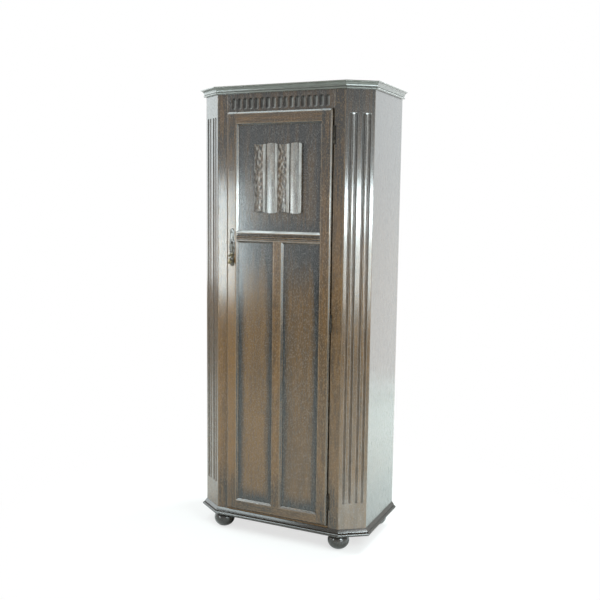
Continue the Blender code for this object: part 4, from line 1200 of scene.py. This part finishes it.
def grooved_edge(sizes, width):
    """Chamfer, lip and panel groove of a sight edge at a width, from face to back, as across and depth."""
    side = math.copysign(1, width)
    floor = width - side * sizes.groove
    near = sizes.chamfer + sizes.lip
    far = near + sizes.panel + 2 * SEAT
    return [
        (width - side * sizes.chamfer, 0), (width, sizes.chamfer), (width, near), (floor, near),
        (floor, far), (width, far), (width, sizes.door_thick),
    ]


class WARDROBE_OT_door_frame(BuildOperator, bpy.types.Operator):
    """Makes the door's stiles, rails and muntin with their chamfers, reeds and bevelled outer edges"""

    bl_idname = "wardrobe.door_frame"
    bl_label = "Door frame"

    def build(self, context, sizes):
        left, sight = corners("left_stile")[:, 0]
        low, high = corners("left_stile")[:, 2]
        right = highest("right_stile", "x")
        half = -sight - CHAMFER_SEAT
        upright = (low, high)
        level = (-half, half)
        for node, width, across, origin, along, span, scribed, glow in (
            ("left_stile", sizes.stile, RIGHT, left * RIGHT, UP, upright, False, 1.0),
            ("right_stile", sizes.stile, -RIGHT, right * RIGHT, UP, upright, False, 0.55),
            ("top_rail", sizes.top_rail, -UP, high * UP, RIGHT, level, True, 2.6),
            ("bottom_rail", sizes.bottom_rail, UP, low * UP, RIGHT, level, True, 0.9),
        ):
            bevel = (sizes.door_end, sizes.door_end_depth) if scribed else (sizes.door_side, sizes.door_side)
            outline = joined((0, sizes.door_thick), (0, bevel[1]), (bevel[0], 0), grooved_edge(sizes, width))
            self.member(context, sizes, node, outline, across, origin, along, span, glow, scribed)

        mid_low, mid_high = corners("mid_rail")[:, 2]
        middle = (mid_low + mid_high) / 2 * UP
        outline = self.reeded(sizes, mid_high - mid_low)
        # The middle rail gets a painted highlight on its upper chamfer
        self.member(context, sizes, "mid_rail", outline, UP, middle, RIGHT, level, glow=0.95, pale=True)
        left, right = corners("muntin")[:, 0]
        outline = self.sighted(sizes, right - left)
        span = (low + sizes.bottom_rail + CHAMFER_SEAT, mid_low - CHAMFER_SEAT)
        self.member(context, sizes, "muntin", outline, RIGHT, 0 * UP, UP, span, glow=0.68)
        self.cut_keyhole(context, sizes)

    def sighted(self, sizes, width):
        """Outline of a member with a sight edge on both sides, about its middle."""
        right = np.array(grooved_edge(sizes, width / 2))
        return joined(right[::-1] * (-1, 1), right)

    def reeded(self, sizes, width):
        """
        The same outline with a row of reeds, each half a sine wave, sunk in its face under half an
        ellipse.
        """
        outline = self.sighted(sizes, width)
        steps = 10
        turn = np.arange(sizes.reeds * steps + 1) / steps
        low = -(sizes.reeds * sizes.reed_width + sizes.rail_cove) / 2
        sunk = sizes.reed_depth * (1 - np.abs(np.sin(math.pi * turn)))
        reeds = np.stack([low + sizes.reed_width * turn, sunk], axis=1)
        half = sizes.rail_cove / 2
        cove = ellipse_part((-low - half, 0), half, sizes.rail_cove_depth, 180, 0, 12)
        middle = len(outline) // 2
        return joined(outline[:middle], (low, 0), reeds, cove, outline[middle:])

    def member(
        self, context, sizes, node, outline, across, origin, along, span, glow, scribed=True, pale=False,
    ):
        """
        One member: its softened outline carried along. A scribed end reaches over its neighbour's
        chamfer, and a free end falls back to the bevel along the door's top or bottom. A pale one is made
        pale on its edges, wear with a painted highlight, and all over its upper chamfer as a painted
        highlight.
        """
        ring, edge, hollow = softened(outline, DOOR_ARRIS)
        deep = ring[:, 1]
        finish = stained_oak(context, "polished_oak")
        if pale:
            finish = stained_oak(context, "frieze_oak")
            # Painted highlight: the upper chamfer is painted pale all over, and the edges more strongly
            upper = ring[:, 0] > ring[:, 0].max() - sizes.chamfer - SEAT
            chamfered = upper & (deep < sizes.chamfer + SEAT)
            edge = np.maximum(EDGE_WEAR_AND_GLINT * edge, PAINTED_CHAMFER_GLINT * chamfered)
        origin = origin + lowest("left_stile", "y") * BACKWARD
        if scribed:
            over = np.maximum(sizes.chamfer - deep, 0)
            start, end = span[0] - over, span[1] + over
            points, grain = carried(ring, start, end, origin, across, BACKWARD, along, BOARD_ROWS)
        else:
            points, grain = self.free_ended(sizes, ring, span, origin, across, along)
        inside = (deep > sizes.door_thick - SEAT).astype(float)
        kept = np.where(deep > RUBBED_DEPTH, BELOW_FACE_SHARE, 1.0)
        looks = plain_looks(points, rubbed(points, glow) * kept, DOOR_WEAR * edge, hollow, inside, grain)
        add_piece("door_" + node, points, looks, finish, "door", [node])

    def free_ended(self, sizes, ring, span, origin, across, along):
        """
        The ring carried along rows that crowd at both ends, where the face falls back evenly to the
        bevel.
        """
        away = sizes.door_end * np.array((0, 0.9, 1, 1.2))
        between = np.linspace(span[0], span[1], BOARD_ROWS)[1:-1]
        rows = np.concatenate([span[0] + away, between, span[1] - away[::-1]])
        left = np.minimum(rows - span[0], span[1] - rows) / sizes.door_end
        sunk = np.maximum(ring[:, 1], sizes.door_end_depth * np.clip(1 - left, 0, 1)[:, None])
        run = np.broadcast_to(rows[:, None], sunk.shape)
        points = origin + ring[:, :1] * across + sunk[..., None] * BACKWARD + run[..., None] * along
        grain = np.stack([np.broadcast_to(ring[:, 0], sunk.shape), sunk, run], axis=-1)
        return points, grain

    def cut_keyhole(self, context, sizes):
        """Cuts the keyhole through the left stile behind the backplate."""
        x, z = keyhole_place(sizes)
        front = lowest("left_stile", "y")
        origin = np.array((x, 0, z))
        depths = (front - sizes.door_thick, front + 2 * sizes.door_thick)
        outline = keyhole_outline(sizes, points=40)
        cut_out(context, "door_left_stile", outline, depths, origin, RIGHT, UP, BACKWARD)


def keyhole_place(sizes):
    """The keyhole's x and z on the door."""
    x, _, z = corners("handle_backplate").mean(axis=0)
    return x, z + sizes.plate_below_keyhole


def keyhole_outline(sizes, points):
    """Keyhole of so many points about its round's centre: an arc closed by a slot."""
    half = sizes.keyhole_slot / 2
    corner = math.degrees(math.asin(half / sizes.keyhole_radius))
    turned_part = arc((0, 0), sizes.keyhole_radius, -90 + corner, 270 - corner, points - 3)
    return joined(turned_part, (-half, -sizes.keyhole_drop), (half, -sizes.keyhole_drop))


class WARDROBE_OT_door_panels(BuildOperator, bpy.types.Operator):
    """Makes the three door panels with their shaded borders"""

    bl_idname = "wardrobe.door_panels"
    bl_label = "Door panels"

    def build(self, context, sizes):
        self.panel(context, sizes, "upper_panel", fade=0.04, head=0.2, glow=0.2)
        self.panel(context, sizes, "lower_left_panel", fade=0.036, head=0.24, glow=0.74)
        self.panel(context, sizes, "lower_right_panel", fade=0.036, head=0.24, glow=0.57)

    def panel(self, context, sizes, node, fade, head, glow):
        """
        A flat slab whose stain is rubbed through in the middle: the glow is the product of smooth steps
        that rise from the sight edges, across over the fade and up over 1.8 times the fade, and of one
        that dies out over the head.
        """
        low, high = corners(node)
        held = sizes.groove - PANEL_PLAY
        across = np.linspace(low[0], high[0], PANEL_COLUMNS)
        up = np.linspace(low[2], high[2], PANEL_ROWS)
        front = np.stack([across, np.full(PANEL_COLUMNS, low[1])], axis=1)
        back = np.stack([across[::-1], np.full(PANEL_COLUMNS, high[1])], axis=1)
        ring = joined(front, back)
        points, grain = carried(ring, low[2], high[2], 0 * UP, RIGHT, BACKWARD, UP, PANEL_ROWS)

        def rise(value, start, end, reach):
            """A smooth step up from the nearer of two sight edges."""
            return smooth_step(np.minimum(value - start - held, end - held - value) / reach)

        upward = rise(up, low[2], high[2], UPWARD_FADE * fade) * rise(up, 2 * low[2] - high[2], high[2], head)
        warm = rise(ring[:, 0], low[0], high[0], fade)[None] * upward[:, None]
        inside = (ring[:, 1] > high[1] - SEAT).astype(float)
        looks = plain_looks(points, glow * warm, inside=inside, grain=grain)
        finish = stained_oak(context, "shaded_panel_oak")
        add_piece("door_" + node, points, looks, finish, "door", [node])


class WARDROBE_OT_linenfold(BuildOperator, bpy.types.Operator):
    """Carves the linenfold on the upper panel"""

    bl_idname = "wardrobe.linenfold"
    bl_label = "Linenfold"

    def build(self, context, sizes):
        low, high = corners("linenfold")
        across = np.linspace(0, 1, LINEN_COLUMNS)
        up = np.linspace(-1, 1, LINEN_ROWS)
        fold = np.minimum(np.floor(across * sizes.linen_folds), sizes.linen_folds - 1)
        within = across * sizes.linen_folds - fold
        rounded = fold % 2 == 1
        height = self.height(sizes, within, rounded)
        rise = sizes.linen_base + sizes.linen_rise * height - self.tooling(within, rounded, up)
        front = np.maximum(high[1] - np.maximum(rise, LEAST_BLOCK), low[1])
        x = low[0] + (high[0] - low[0]) * across
        half = (high[2] - low[2]) / 2 - sizes.linen_dip * (1 - self.reach(within, rounded))
        z = (high[2] + low[2]) / 2 + up[:, None] * half[None]
        points = np.stack([np.broadcast_to(x, front.shape), front, z], axis=-1)
        back = points[:, (-1, 0)].copy()
        back[..., 1] = high[1]
        points = np.concatenate([points, back], axis=1)

        # Painted highlight: the ridges are made pale; the crowns are pale as wear with a painted sheen
        ridge = np.where(within > 1 - sizes.linen_ridge, climb(height, 0.5, 0.8), 0)
        crown = np.where(rounded, CROWN_WEAR_AND_SHEEN * climb(height, 0.3, 0.7), HOLLOW_WEAR)
        figure = self.figure(fold + within, rounded | (ridge > 0), up)
        edge = np.maximum(np.maximum(ridge, crown), PALE_FIGURE * figure)
        # Painted shade in the low quirks, darker the lower they lie, and the dark of the figure
        grime = np.maximum(climb(height, 0.25, 0), -DARK_FIGURE * figure)
        glow = np.where(rounded, CROWN_GLOW, HOLLOW_GLOW)
        matt = np.where(rounded | (ridge > 0.3), 0, HOLLOW_MATT)
        sides = ((0, 0), (0, 2))
        masks = (np.pad(mask, sides) for mask in (glow[None], edge, grime, matt[None]))
        glow, edge, grime, matt = masks
        looks = plain_looks(points, glow, edge, grime, dull=matt)
        finish = stained_oak(context, "rubbed_linenfold_oak")
        add_piece("carved_linenfold", points, looks, finish, "door", ["linenfold"])

    def height(self, sizes, within, rounded):
        """
        Each fold ends at its right side in a rounded ridge, the top half of an ellipse, with a quirk past
        it. The rest is, in a round fold, a nearly flat crown that faces a little to the left: a slope
        less a square and less a high power that makes its sides steep. In a hollow fold it is a shallow
        parabola.
        """
        ridge_half = sizes.linen_ridge / 2
        place = 2 * within / (1 - sizes.linen_ridge) - 1
        away = np.abs(place)
        crown = 0.2 + 0.65 * (0.86 + 0.2 * place - 0.1 * away ** 2 - 0.76 * away ** 14)
        hollow = 0.28 + 0.2 * away ** 2
        aside = (within - 1 + ridge_half) / ridge_half
        ridge = 0.45 + 0.55 * np.sqrt(np.clip(1 - aside ** 2, 0, 1))
        shape = np.where(within > 1 - sizes.linen_ridge, ridge, np.where(rounded, crown, hollow))
        return np.where(within > 0.98, 0.1, np.maximum(shape, 0.1))

    def reach(self, within, rounded):
        """
        How far the carved ends go: fully at the middle of a round fold and at the ridges, less between.
        """
        return np.where(rounded, np.sin(math.pi * within) ** 0.5, 0.55 * np.abs(2 * within - 1) ** 2)

    def figure(self, place, plain, up):
        """
        Figure of the hollow folds: a sum of sine waves that run mostly across, each with its rates across
        and up and its phase drawn at random.
        """
        draw = np.random.default_rng(5)
        wave = np.zeros((len(up), len(place)))
        for _ in range(FIGURE_WAVES):
            across_rate, up_rate, phase = draw.uniform((2, -34, 0), (30, 34, 6.3))
            wave += np.sin(across_rate * place[None] + up_rate * up[:, None] + phase)
        return np.where(plain, 0, np.clip(wave / FULL_FIGURE, -1, 1))

    def tooling(self, within, rounded, up):
        """
        Gouge marks in the hollow folds: the product of two slanting sine waves, fading towards the
        ridges.
        """
        fade = np.where(rounded, 0, np.clip(1 - np.abs(2 * within - 1) * 1.25, 0, 1))
        along = np.sin(47 * up[:, None] + 6 * within[None])
        across = np.sin(19 * within[None] + 3 * up[:, None])
        return TOOL_DEPTH * fade[None] * along * across


class WARDROBE_OT_handle(BuildOperator, bpy.types.Operator):
    """Makes the backplate, its screws, the stud and the pear drop"""

    bl_idname = "wardrobe.handle"
    bl_label = "Drop handle"

    def build(self, context, sizes):
        brass = old_metal(context, "tarnished_brass")
        black = old_metal(context, "blackened_brass")
        self.backplate(sizes, black)
        for label in ("upper", "lower"):
            self.screw("plate_screw_" + label, black)
        self.stud(sizes, brass)
        low, high = corners("handle_stud")
        x, _, z = (low + high) / 2
        pivot = np.array((x, low[1] + sizes.stud_head, z))
        self.pear(sizes, brass, pivot)
        self.yoke(sizes, brass, pivot)

    def stud(self, sizes, brass):
        """
        A flange with a rounded rim, a neck and part of a circle for the ball, turned about their axis.
        """
        low, high = corners("handle_stud")
        x, _, z = (low + high) / 2
        reach = high[1] - low[1] - sizes.stud_head
        flange = (high[0] - low[0]) / 2
        rim = 0.0012
        neck_low = (sizes.stud_neck + 0.0008, 0.0026)
        neck_high = (sizes.stud_neck, 0.004)
        meeting = math.degrees(math.acos(sizes.stud_neck / sizes.stud_head))
        profile = joined(
            (0, 0), (flange, 0), arc((flange - rim, rim / 2), rim, 0, 90, 5), neck_low, neck_high,
            arc((0, reach), sizes.stud_head, -meeting, 89, 14), (0, reach + sizes.stud_head),
        )
        points = spun(profile, np.array((x, high[1], z)), -BACKWARD, RIGHT, UP, steps=32)
        looks = plain_looks(points)
        add_piece("drop_stud", points, looks, brass, "door", ["handle_stud"], capped=False)

    def backplate(self, sizes, brass):
        """
        A plate with a keyhole: rings go round it, from the keyhole's edge at the back to the outer edge,
        over a bevelled rim to the face and back to the keyhole. The outer ring swells twice with a cosine
        wave, and its ends are blunt: the root of one less a sixth power. Its lower part is handled, with
        the lacquer worn off.
        """
        low, high = corners("handle_backplate")
        x, z = keyhole_place(sizes)
        half_width, thick, half_height = (high - low) * (0.5, 1, 0.5)
        inner = keyhole_outline(sizes, points=96)
        start = math.atan2(inner[0, 1], inner[0, 0])
        place = np.linspace(0, 2 * math.pi, len(inner), endpoint=False) + start
        part = np.sin(place)
        swell = 1 - sizes.plate_waist * (1 - np.cos(2 * math.pi * part))
        blunt = np.sqrt(np.clip(1 - part ** 6, 0, 1)) * np.sign(np.cos(place))
        outer = np.stack([half_width * swell * blunt, half_height * part - sizes.plate_below_keyhole], axis=1)
        toward, rise = PLATE_SECTION.T[..., None]
        flat = inner + (outer - inner) * toward[..., None]
        y = np.broadcast_to(high[1] - thick * rise, flat.shape[:2])
        points = np.stack([x + flat[..., 0], y, z + flat[..., 1]], axis=-1)
        middle = z - sizes.plate_below_keyhole
        looks = plain_looks(points, dull=climb(points[..., 2], middle + 0.01, middle))
        node = "handle_backplate"
        add_piece("drop_backplate", points, looks, brass, "door", [node], wrap_rows=True)

    def screw(self, node, brass):
        """
        A dome, a quarter of an ellipse turned about its axis, with a slot along its middle: a steep bell
        curve across, as deep as given or seven tenths of the dome where that is less.
        """
        low, high = corners(node)
        x, _, z = (low + high) / 2
        radius = (high[0] - low[0]) / 2
        rise = high[1] - low[1]
        dome = ellipse_part((0, 0), radius, rise, 0, 90, 14)
        dome[-1] = (0, rise)
        points = spun(joined((0, 0), dome), np.array((x, high[1], z)), -BACKWARD, RIGHT, UP, steps=48)
        slot_half = 0.16 * radius
        slot_deep = 0.4 * rise
        slot = np.exp(-((points[..., 0] - x) / slot_half) ** 6)
        points[..., 1] += slot * np.minimum(slot_deep, 0.7 * (high[1] - points[..., 1]))
        looks = plain_looks(points)
        add_piece("slotted_" + node, points, looks, brass, "door", [node], capped=False)

    def pear(self, sizes, brass, pivot):
        """
        The pear's radius is a sine of its length's share raised to a power, so that it is widest low
        down, with a collar and a tip that are bell curves.
        """
        neck = sizes.yoke_wire - sizes.yoke_drop
        part = np.linspace(0, 1, 40)
        height = neck - (sizes.pear_length + neck) * part
        swell = np.sin(math.pi * part ** PEAR_POWER)
        radius = sizes.pear_radius * swell / swell.max()
        for place, spread, bead in PEAR_BEADS:
            radius = np.maximum(radius, bead * np.exp(-((part - place) / spread) ** 2))
        radius[[0, -1]] = 0
        points = spun(np.stack([radius, height], axis=1), pivot, UP, RIGHT, BACKWARD, steps=40)
        looks = plain_looks(points)
        add_piece("pear_drop", points, looks, brass, "drop", ["drop_handle"], capped=False)

    def yoke(self, sizes, brass, pivot):
        """A round wire carried along a closed line through the stud and the pear's neck."""
        wire = sizes.yoke_wire
        half = sizes.yoke_half
        drop = sizes.yoke_drop
        right = np.array((
            (0, 0), (half - wire, 0), (half - wire / 4, -wire / 4), (half, -wire), (half, -drop / 3),
            (half / 2.4, -0.75 * drop), (half / 4, -drop - wire),
        ))
        line = joined(right, right[:0:-1] * (-1, 1))
        ahead = np.roll(line, -1, axis=0) - np.roll(line, 1, axis=0)
        ahead = ahead / np.linalg.norm(ahead, axis=1, keepdims=True)
        side = np.stack([ahead[:, 1], -ahead[:, 0]], axis=1)
        angle = np.linspace(0, 2 * math.pi, 14, endpoint=False)
        flat = line[:, None] + np.cos(angle)[None, :, None] * side[:, None] * wire
        y = np.broadcast_to(pivot[1] + wire * np.sin(angle), flat.shape[:2])
        points = np.stack([pivot[0] + flat[..., 0], y, pivot[2] + flat[..., 1]], axis=-1)
        looks = plain_looks(points)
        add_piece("drop_yoke", points, looks, brass, "drop", ["drop_handle"], wrap_rows=True)


class WARDROBE_OT_fittings(BuildOperator, bpy.types.Operator):
    """Makes the hanging rail and finishes the CAD boards, hinges and lock that show as they are"""

    bl_idname = "wardrobe.fittings"
    bl_label = "Rail, inside boards, hinges and lock"

    def build(self, context, sizes):
        low, high = corners("hanging_rail")
        x, _, z = (low + high) / 2
        radius = (high[0] - low[0]) / 2
        run = high[1] - low[1]
        rim = 0.001
        profile = joined(
            (0, 0), (radius - rim, 0), arc((radius - rim, rim), rim, -90, 0, 4),
            arc((radius - rim, run - rim), rim, 0, 90, 4), (0, run),
        )
        points = spun(profile, np.array((x, low[1], z)), BACKWARD, RIGHT, -UP, steps=48)
        looks = plain_looks(points)
        steel = old_metal(context, "dull_steel")
        add_piece("round_rail", points, looks, steel, "carcass", ["hanging_rail"], capped=False)

        paint = context.scene.wardrobe_colours
        level = (0, math.pi / 2, 0)
        side_grain = plain_wood("inside_oak", paint.plain_oak, level, rough=0.5)
        ply = plain_wood("bare_plywood", paint.plywood, (0, 0, 0), rough=0.65)
        dark_board = plain_wood("stained_board", paint.stain_brown, level, rough=0.4)
        places = ("upper", "middle", "lower")
        leaves = ["hinge_%s_leaf_%s" % pair for pair in itertools.product(("post", "door"), places)]
        pins = ["hinge_pin_" + place for place in places]
        finishes = (
            (dark_board, ["top_board", "base_board"]),
            (side_grain, ["door_stop", "hat_shelf", "shelf_bearer_left", "shelf_bearer_right"]),
            (ply, ["back_panel"]),
            (old_metal(context, "blackened_iron"), leaves + pins),
            (old_metal(context, "tarnished_brass"), ["strike_plate", "lock_bolt"]),
            (steel, ["rail_bracket_front", "rail_bracket_back", "lock_case"]),
        )
        for material, nodes in finishes:
            for node in nodes:
                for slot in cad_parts[node].material_slots:
                    slot.material = material


class WARDROBE_OT_stage(BuildOperator, bpy.types.Operator):
    """Makes the floor, the studio lamps, the white surroundings and the camera"""

    bl_idname = "wardrobe.stage"
    bl_label = "Studio and camera"

    def build(self, context, sizes):
        scene = context.scene
        scene.view_settings.view_transform = "Standard"
        self.floor(context)
        self.surroundings(scene)
        plain = (1.0, 1.0, 1.0)
        cool = (0.84, 0.97, 1.0)
        # Each lamp's place, the point it is aimed at, its width and height, its power in watts and its colour
        for name, place, target, size, power, tint in (
            ("lamp_left", (-2.3, -1.1, 2.3), (0, 0, 1.1), (0.8, 0.7), 26, plain),
            ("lamp_front", (0.7, -3.0, 3.2), (0, 0, 0.8), (0.8, 0.8), 5, plain),
            ("lamp_right", (2.6, -1.2, 2.7), (0.1, 0, 0.9), (0.8, 0.8), 8, plain),
            ("lamp_overhead", (-1.2, -0.55, 3.3), (-1.2, -0.55, 0), (1.5, 1.9), 56, cool),
            ("lamp_overhead_left", (-2.2, -2.1, 3.3), (-2.2, -2.1, 0), (1.0, 1.6), 36, cool),
            ("lamp_overhead_right", (2.6, -0.2, 3.3), (2.6, -0.2, 0), (1.1, 1.0), 32, cool),
            ("strip_left", (-1.81, -2.75, 1.04), (-0.25, -0.17, 1.2), (0.3, 0.86), 15.5, cool),
            ("strip_right", (2.95, -2.37, 0.92), (0.33, -0.14, 1.0), (0.42, 0.8), 12, cool),
            ("panel_right", (2.9, -1.5, 1.2), (-0.2, -0.17, 1.1), (1.1, 1.5), 20, cool),
            ("floor_lamp_right", (1.5, -1.1, 1.3), (0.8, -0.7, 0.0), (0.5, 0.5), 24, cool),
            ("softbox_behind", (1.4, 1.9, 1.4), (0.36, 0, 1.2), (2.0, 2.7), 9, cool),
            ("floor_lamp_behind", (1.3, 1.9, 2.8), (1.2, 1.8, 0.0), (0.8, 0.8), 140, cool),
            ("softbox_beside", (-3.2, 0.3, 1.8), (-0.3, 0, 1.6), (1.6, 2.2), 20, cool),
        ):
            self.lamp(name, Vector(place), Vector(target), size, power, tint)
        self.camera(scene)

    def floor(self, context):
        """
        A wide flat square under the feet: far off it is white to the camera, and behind the object in
        reflections.
        """
        half = 10.0
        clearance = 0.0002
        mesh = bpy.data.meshes.new("studio_floor")
        square = np.array(((-1, -1, 0), (1, -1, 0), (1, 1, 0), (-1, 1, 0)))
        mesh.from_pydata(half * square - clearance * UP, [], [(0, 1, 2, 3)])
        floor = linked("studio_floor", mesh)
        material, tree, _ = start_material("studio_white")
        tree.nodes.clear()
        diffuse = add_node(tree, "ShaderNodeBsdfDiffuse")
        diffuse.inputs["Color"].default_value = opaque(context.scene.wardrobe_colours.floor)
        white = add_node(tree, "ShaderNodeEmission")
        point = add_node(tree, "ShaderNodeTexCoord").outputs["Object"]
        away = add_node(tree, "ShaderNodeVectorMath", operation="LENGTH")
        plug(tree, point, away.inputs[0])
        far = ramp(tree, away.outputs["Value"], low=0.3, high=1.3, to_low=0.7, to_high=1.0)
        parts = add_node(tree, "ShaderNodeSeparateXYZ")
        plug(tree, point, parts.inputs[0])
        behind = ramp(tree, parts.outputs["Y"], low=2.2, high=3.2)
        rays = add_node(tree, "ShaderNodeLightPath").outputs
        seen = math_node(tree, "MULTIPLY", far, rays["Is Camera Ray"])
        mirrored = math_node(tree, "MULTIPLY", behind, rays["Is Glossy Ray"])
        mix = add_node(tree, "ShaderNodeMixShader")
        plug(tree, math_node(tree, "MAXIMUM", seen, mirrored), mix.inputs[0])
        plug(tree, diffuse.outputs[0], mix.inputs[1])
        plug(tree, white.outputs[0], mix.inputs[2])
        plug(tree, mix.outputs[0], add_node(tree, "ShaderNodeOutputMaterial").inputs[0])
        arrange(tree)
        mesh.materials.append(material)

    def surroundings(self, scene):
        """
        White all round for the camera; white low down and dim overhead in reflections; dim for surfaces.
        """
        world = bpy.data.worlds.new("studio_surroundings")
        scene.world = world
        world.use_nodes = True
        tree = world.node_tree
        background = tree.nodes["Background"]
        background.inputs["Color"].default_value = (1.0, 1.0, 1.0, 1.0)
        path = add_node(tree, "ShaderNodeLightPath").outputs
        toward = add_node(tree, "ShaderNodeSeparateXYZ")
        plug(tree, add_node(tree, "ShaderNodeTexCoord").outputs["Generated"], toward.inputs[0])
        overhead = ramp(tree, toward.outputs["Z"], low=0.25, high=0.6, to_low=1.0, to_high=0.3)
        mirrored = math_node(tree, "MAXIMUM", path["Is Glossy Ray"], path["Is Transmission Ray"])
        reflected = ramp(tree, mirrored, low=0.0, high=1.0, to_low=0.15, to_high=overhead)
        seen = path["Is Camera Ray"]
        strength = ramp(tree, seen, low=0.0, high=1.0, to_low=reflected, to_high=1.0)
        plug(tree, strength, background.inputs["Strength"])
        arrange(tree)

    def lamp(self, name, place, target, size, power, tint):
        """An area lamp of a width and height, aimed at a target."""
        data = bpy.data.lights.new(name, "AREA")
        data.shape = "RECTANGLE"
        data.size, data.size_y = size
        data.energy = power
        data.color = tint
        lamp = linked(name, data)
        lamp.location = place
        lamp.rotation_euler = (target - place).to_track_quat("-Z", "Y").to_euler()

    def camera(self, scene):
        """
        The photograph's camera: its place and its turns about the vertical, the level and its own axis.
        """
        place = Vector((1.383, -2.93975, 1.347))
        yaw = math.radians(24.95)
        pitch = math.radians(7.04)
        roll = math.radians(-0.68)
        focal_pixels = 808.1
        frame_pixels = 600
        level = np.array((-math.sin(yaw), math.cos(yaw), 0))
        ahead = math.cos(pitch) * level - math.sin(pitch) * UP
        right = np.array((math.cos(yaw), math.sin(yaw), 0))
        down = np.cross(ahead, right)
        rolled_right = math.cos(roll) * right + math.sin(roll) * down
        rolled_down = -math.sin(roll) * right + math.cos(roll) * down
        turn = np.stack([rolled_right, -rolled_down, -ahead], axis=1)
        data = bpy.data.cameras.new("photo_camera")
        data.sensor_width = 36.0
        data.lens = focal_pixels / frame_pixels * data.sensor_width
        camera = linked("photo_camera", data)
        camera.matrix_world = Matrix.LocRotScale(place, Matrix(turn.tolist()), None)
        scene.camera = camera


BUILDERS = (
    WARDROBE_OT_side_boards,
    WARDROBE_OT_fluted_boards,
    WARDROBE_OT_mouldings,
    WARDROBE_OT_feet,
    WARDROBE_OT_door_frame,
    WARDROBE_OT_door_panels,
    WARDROBE_OT_linenfold,
    WARDROBE_OT_handle,
    WARDROBE_OT_fittings,
    WARDROBE_OT_stage,
)


class WARDROBE_PT_sidebar(bpy.types.Panel):
    """Lists the steps that build the wardrobe"""

    bl_idname = "WARDROBE_PT_sidebar"
    bl_label = "Oak hall wardrobe"
    bl_space_type = "VIEW_3D"
    bl_region_type = "UI"
    bl_category = "Wardrobe"

    def draw(self, context):
        for builder in BUILDERS:
            self.layout.operator(builder.bl_idname)


CLASSES = (WardrobeSizes, WardrobeColours, *BUILDERS, WARDROBE_PT_sidebar)


def register():
    """Registers the classes and hangs the properties on the scene."""
    for kind in CLASSES:
        bpy.utils.register_class(kind)
    bpy.types.Scene.wardrobe_sizes = PointerProperty(type=WardrobeSizes)
    bpy.types.Scene.wardrobe_colours = PointerProperty(type=WardrobeColours)


def unregister():
    """Takes the properties and classes away again."""
    del bpy.types.Scene.wardrobe_colours
    del bpy.types.Scene.wardrobe_sizes
    for kind in reversed(CLASSES):
        bpy.utils.unregister_class(kind)


def main():
    register()
    for builder in BUILDERS:
        family, step = builder.bl_idname.split(".")
        getattr(getattr(bpy.ops, family), step)()


if __name__ == "__main__":
    main()
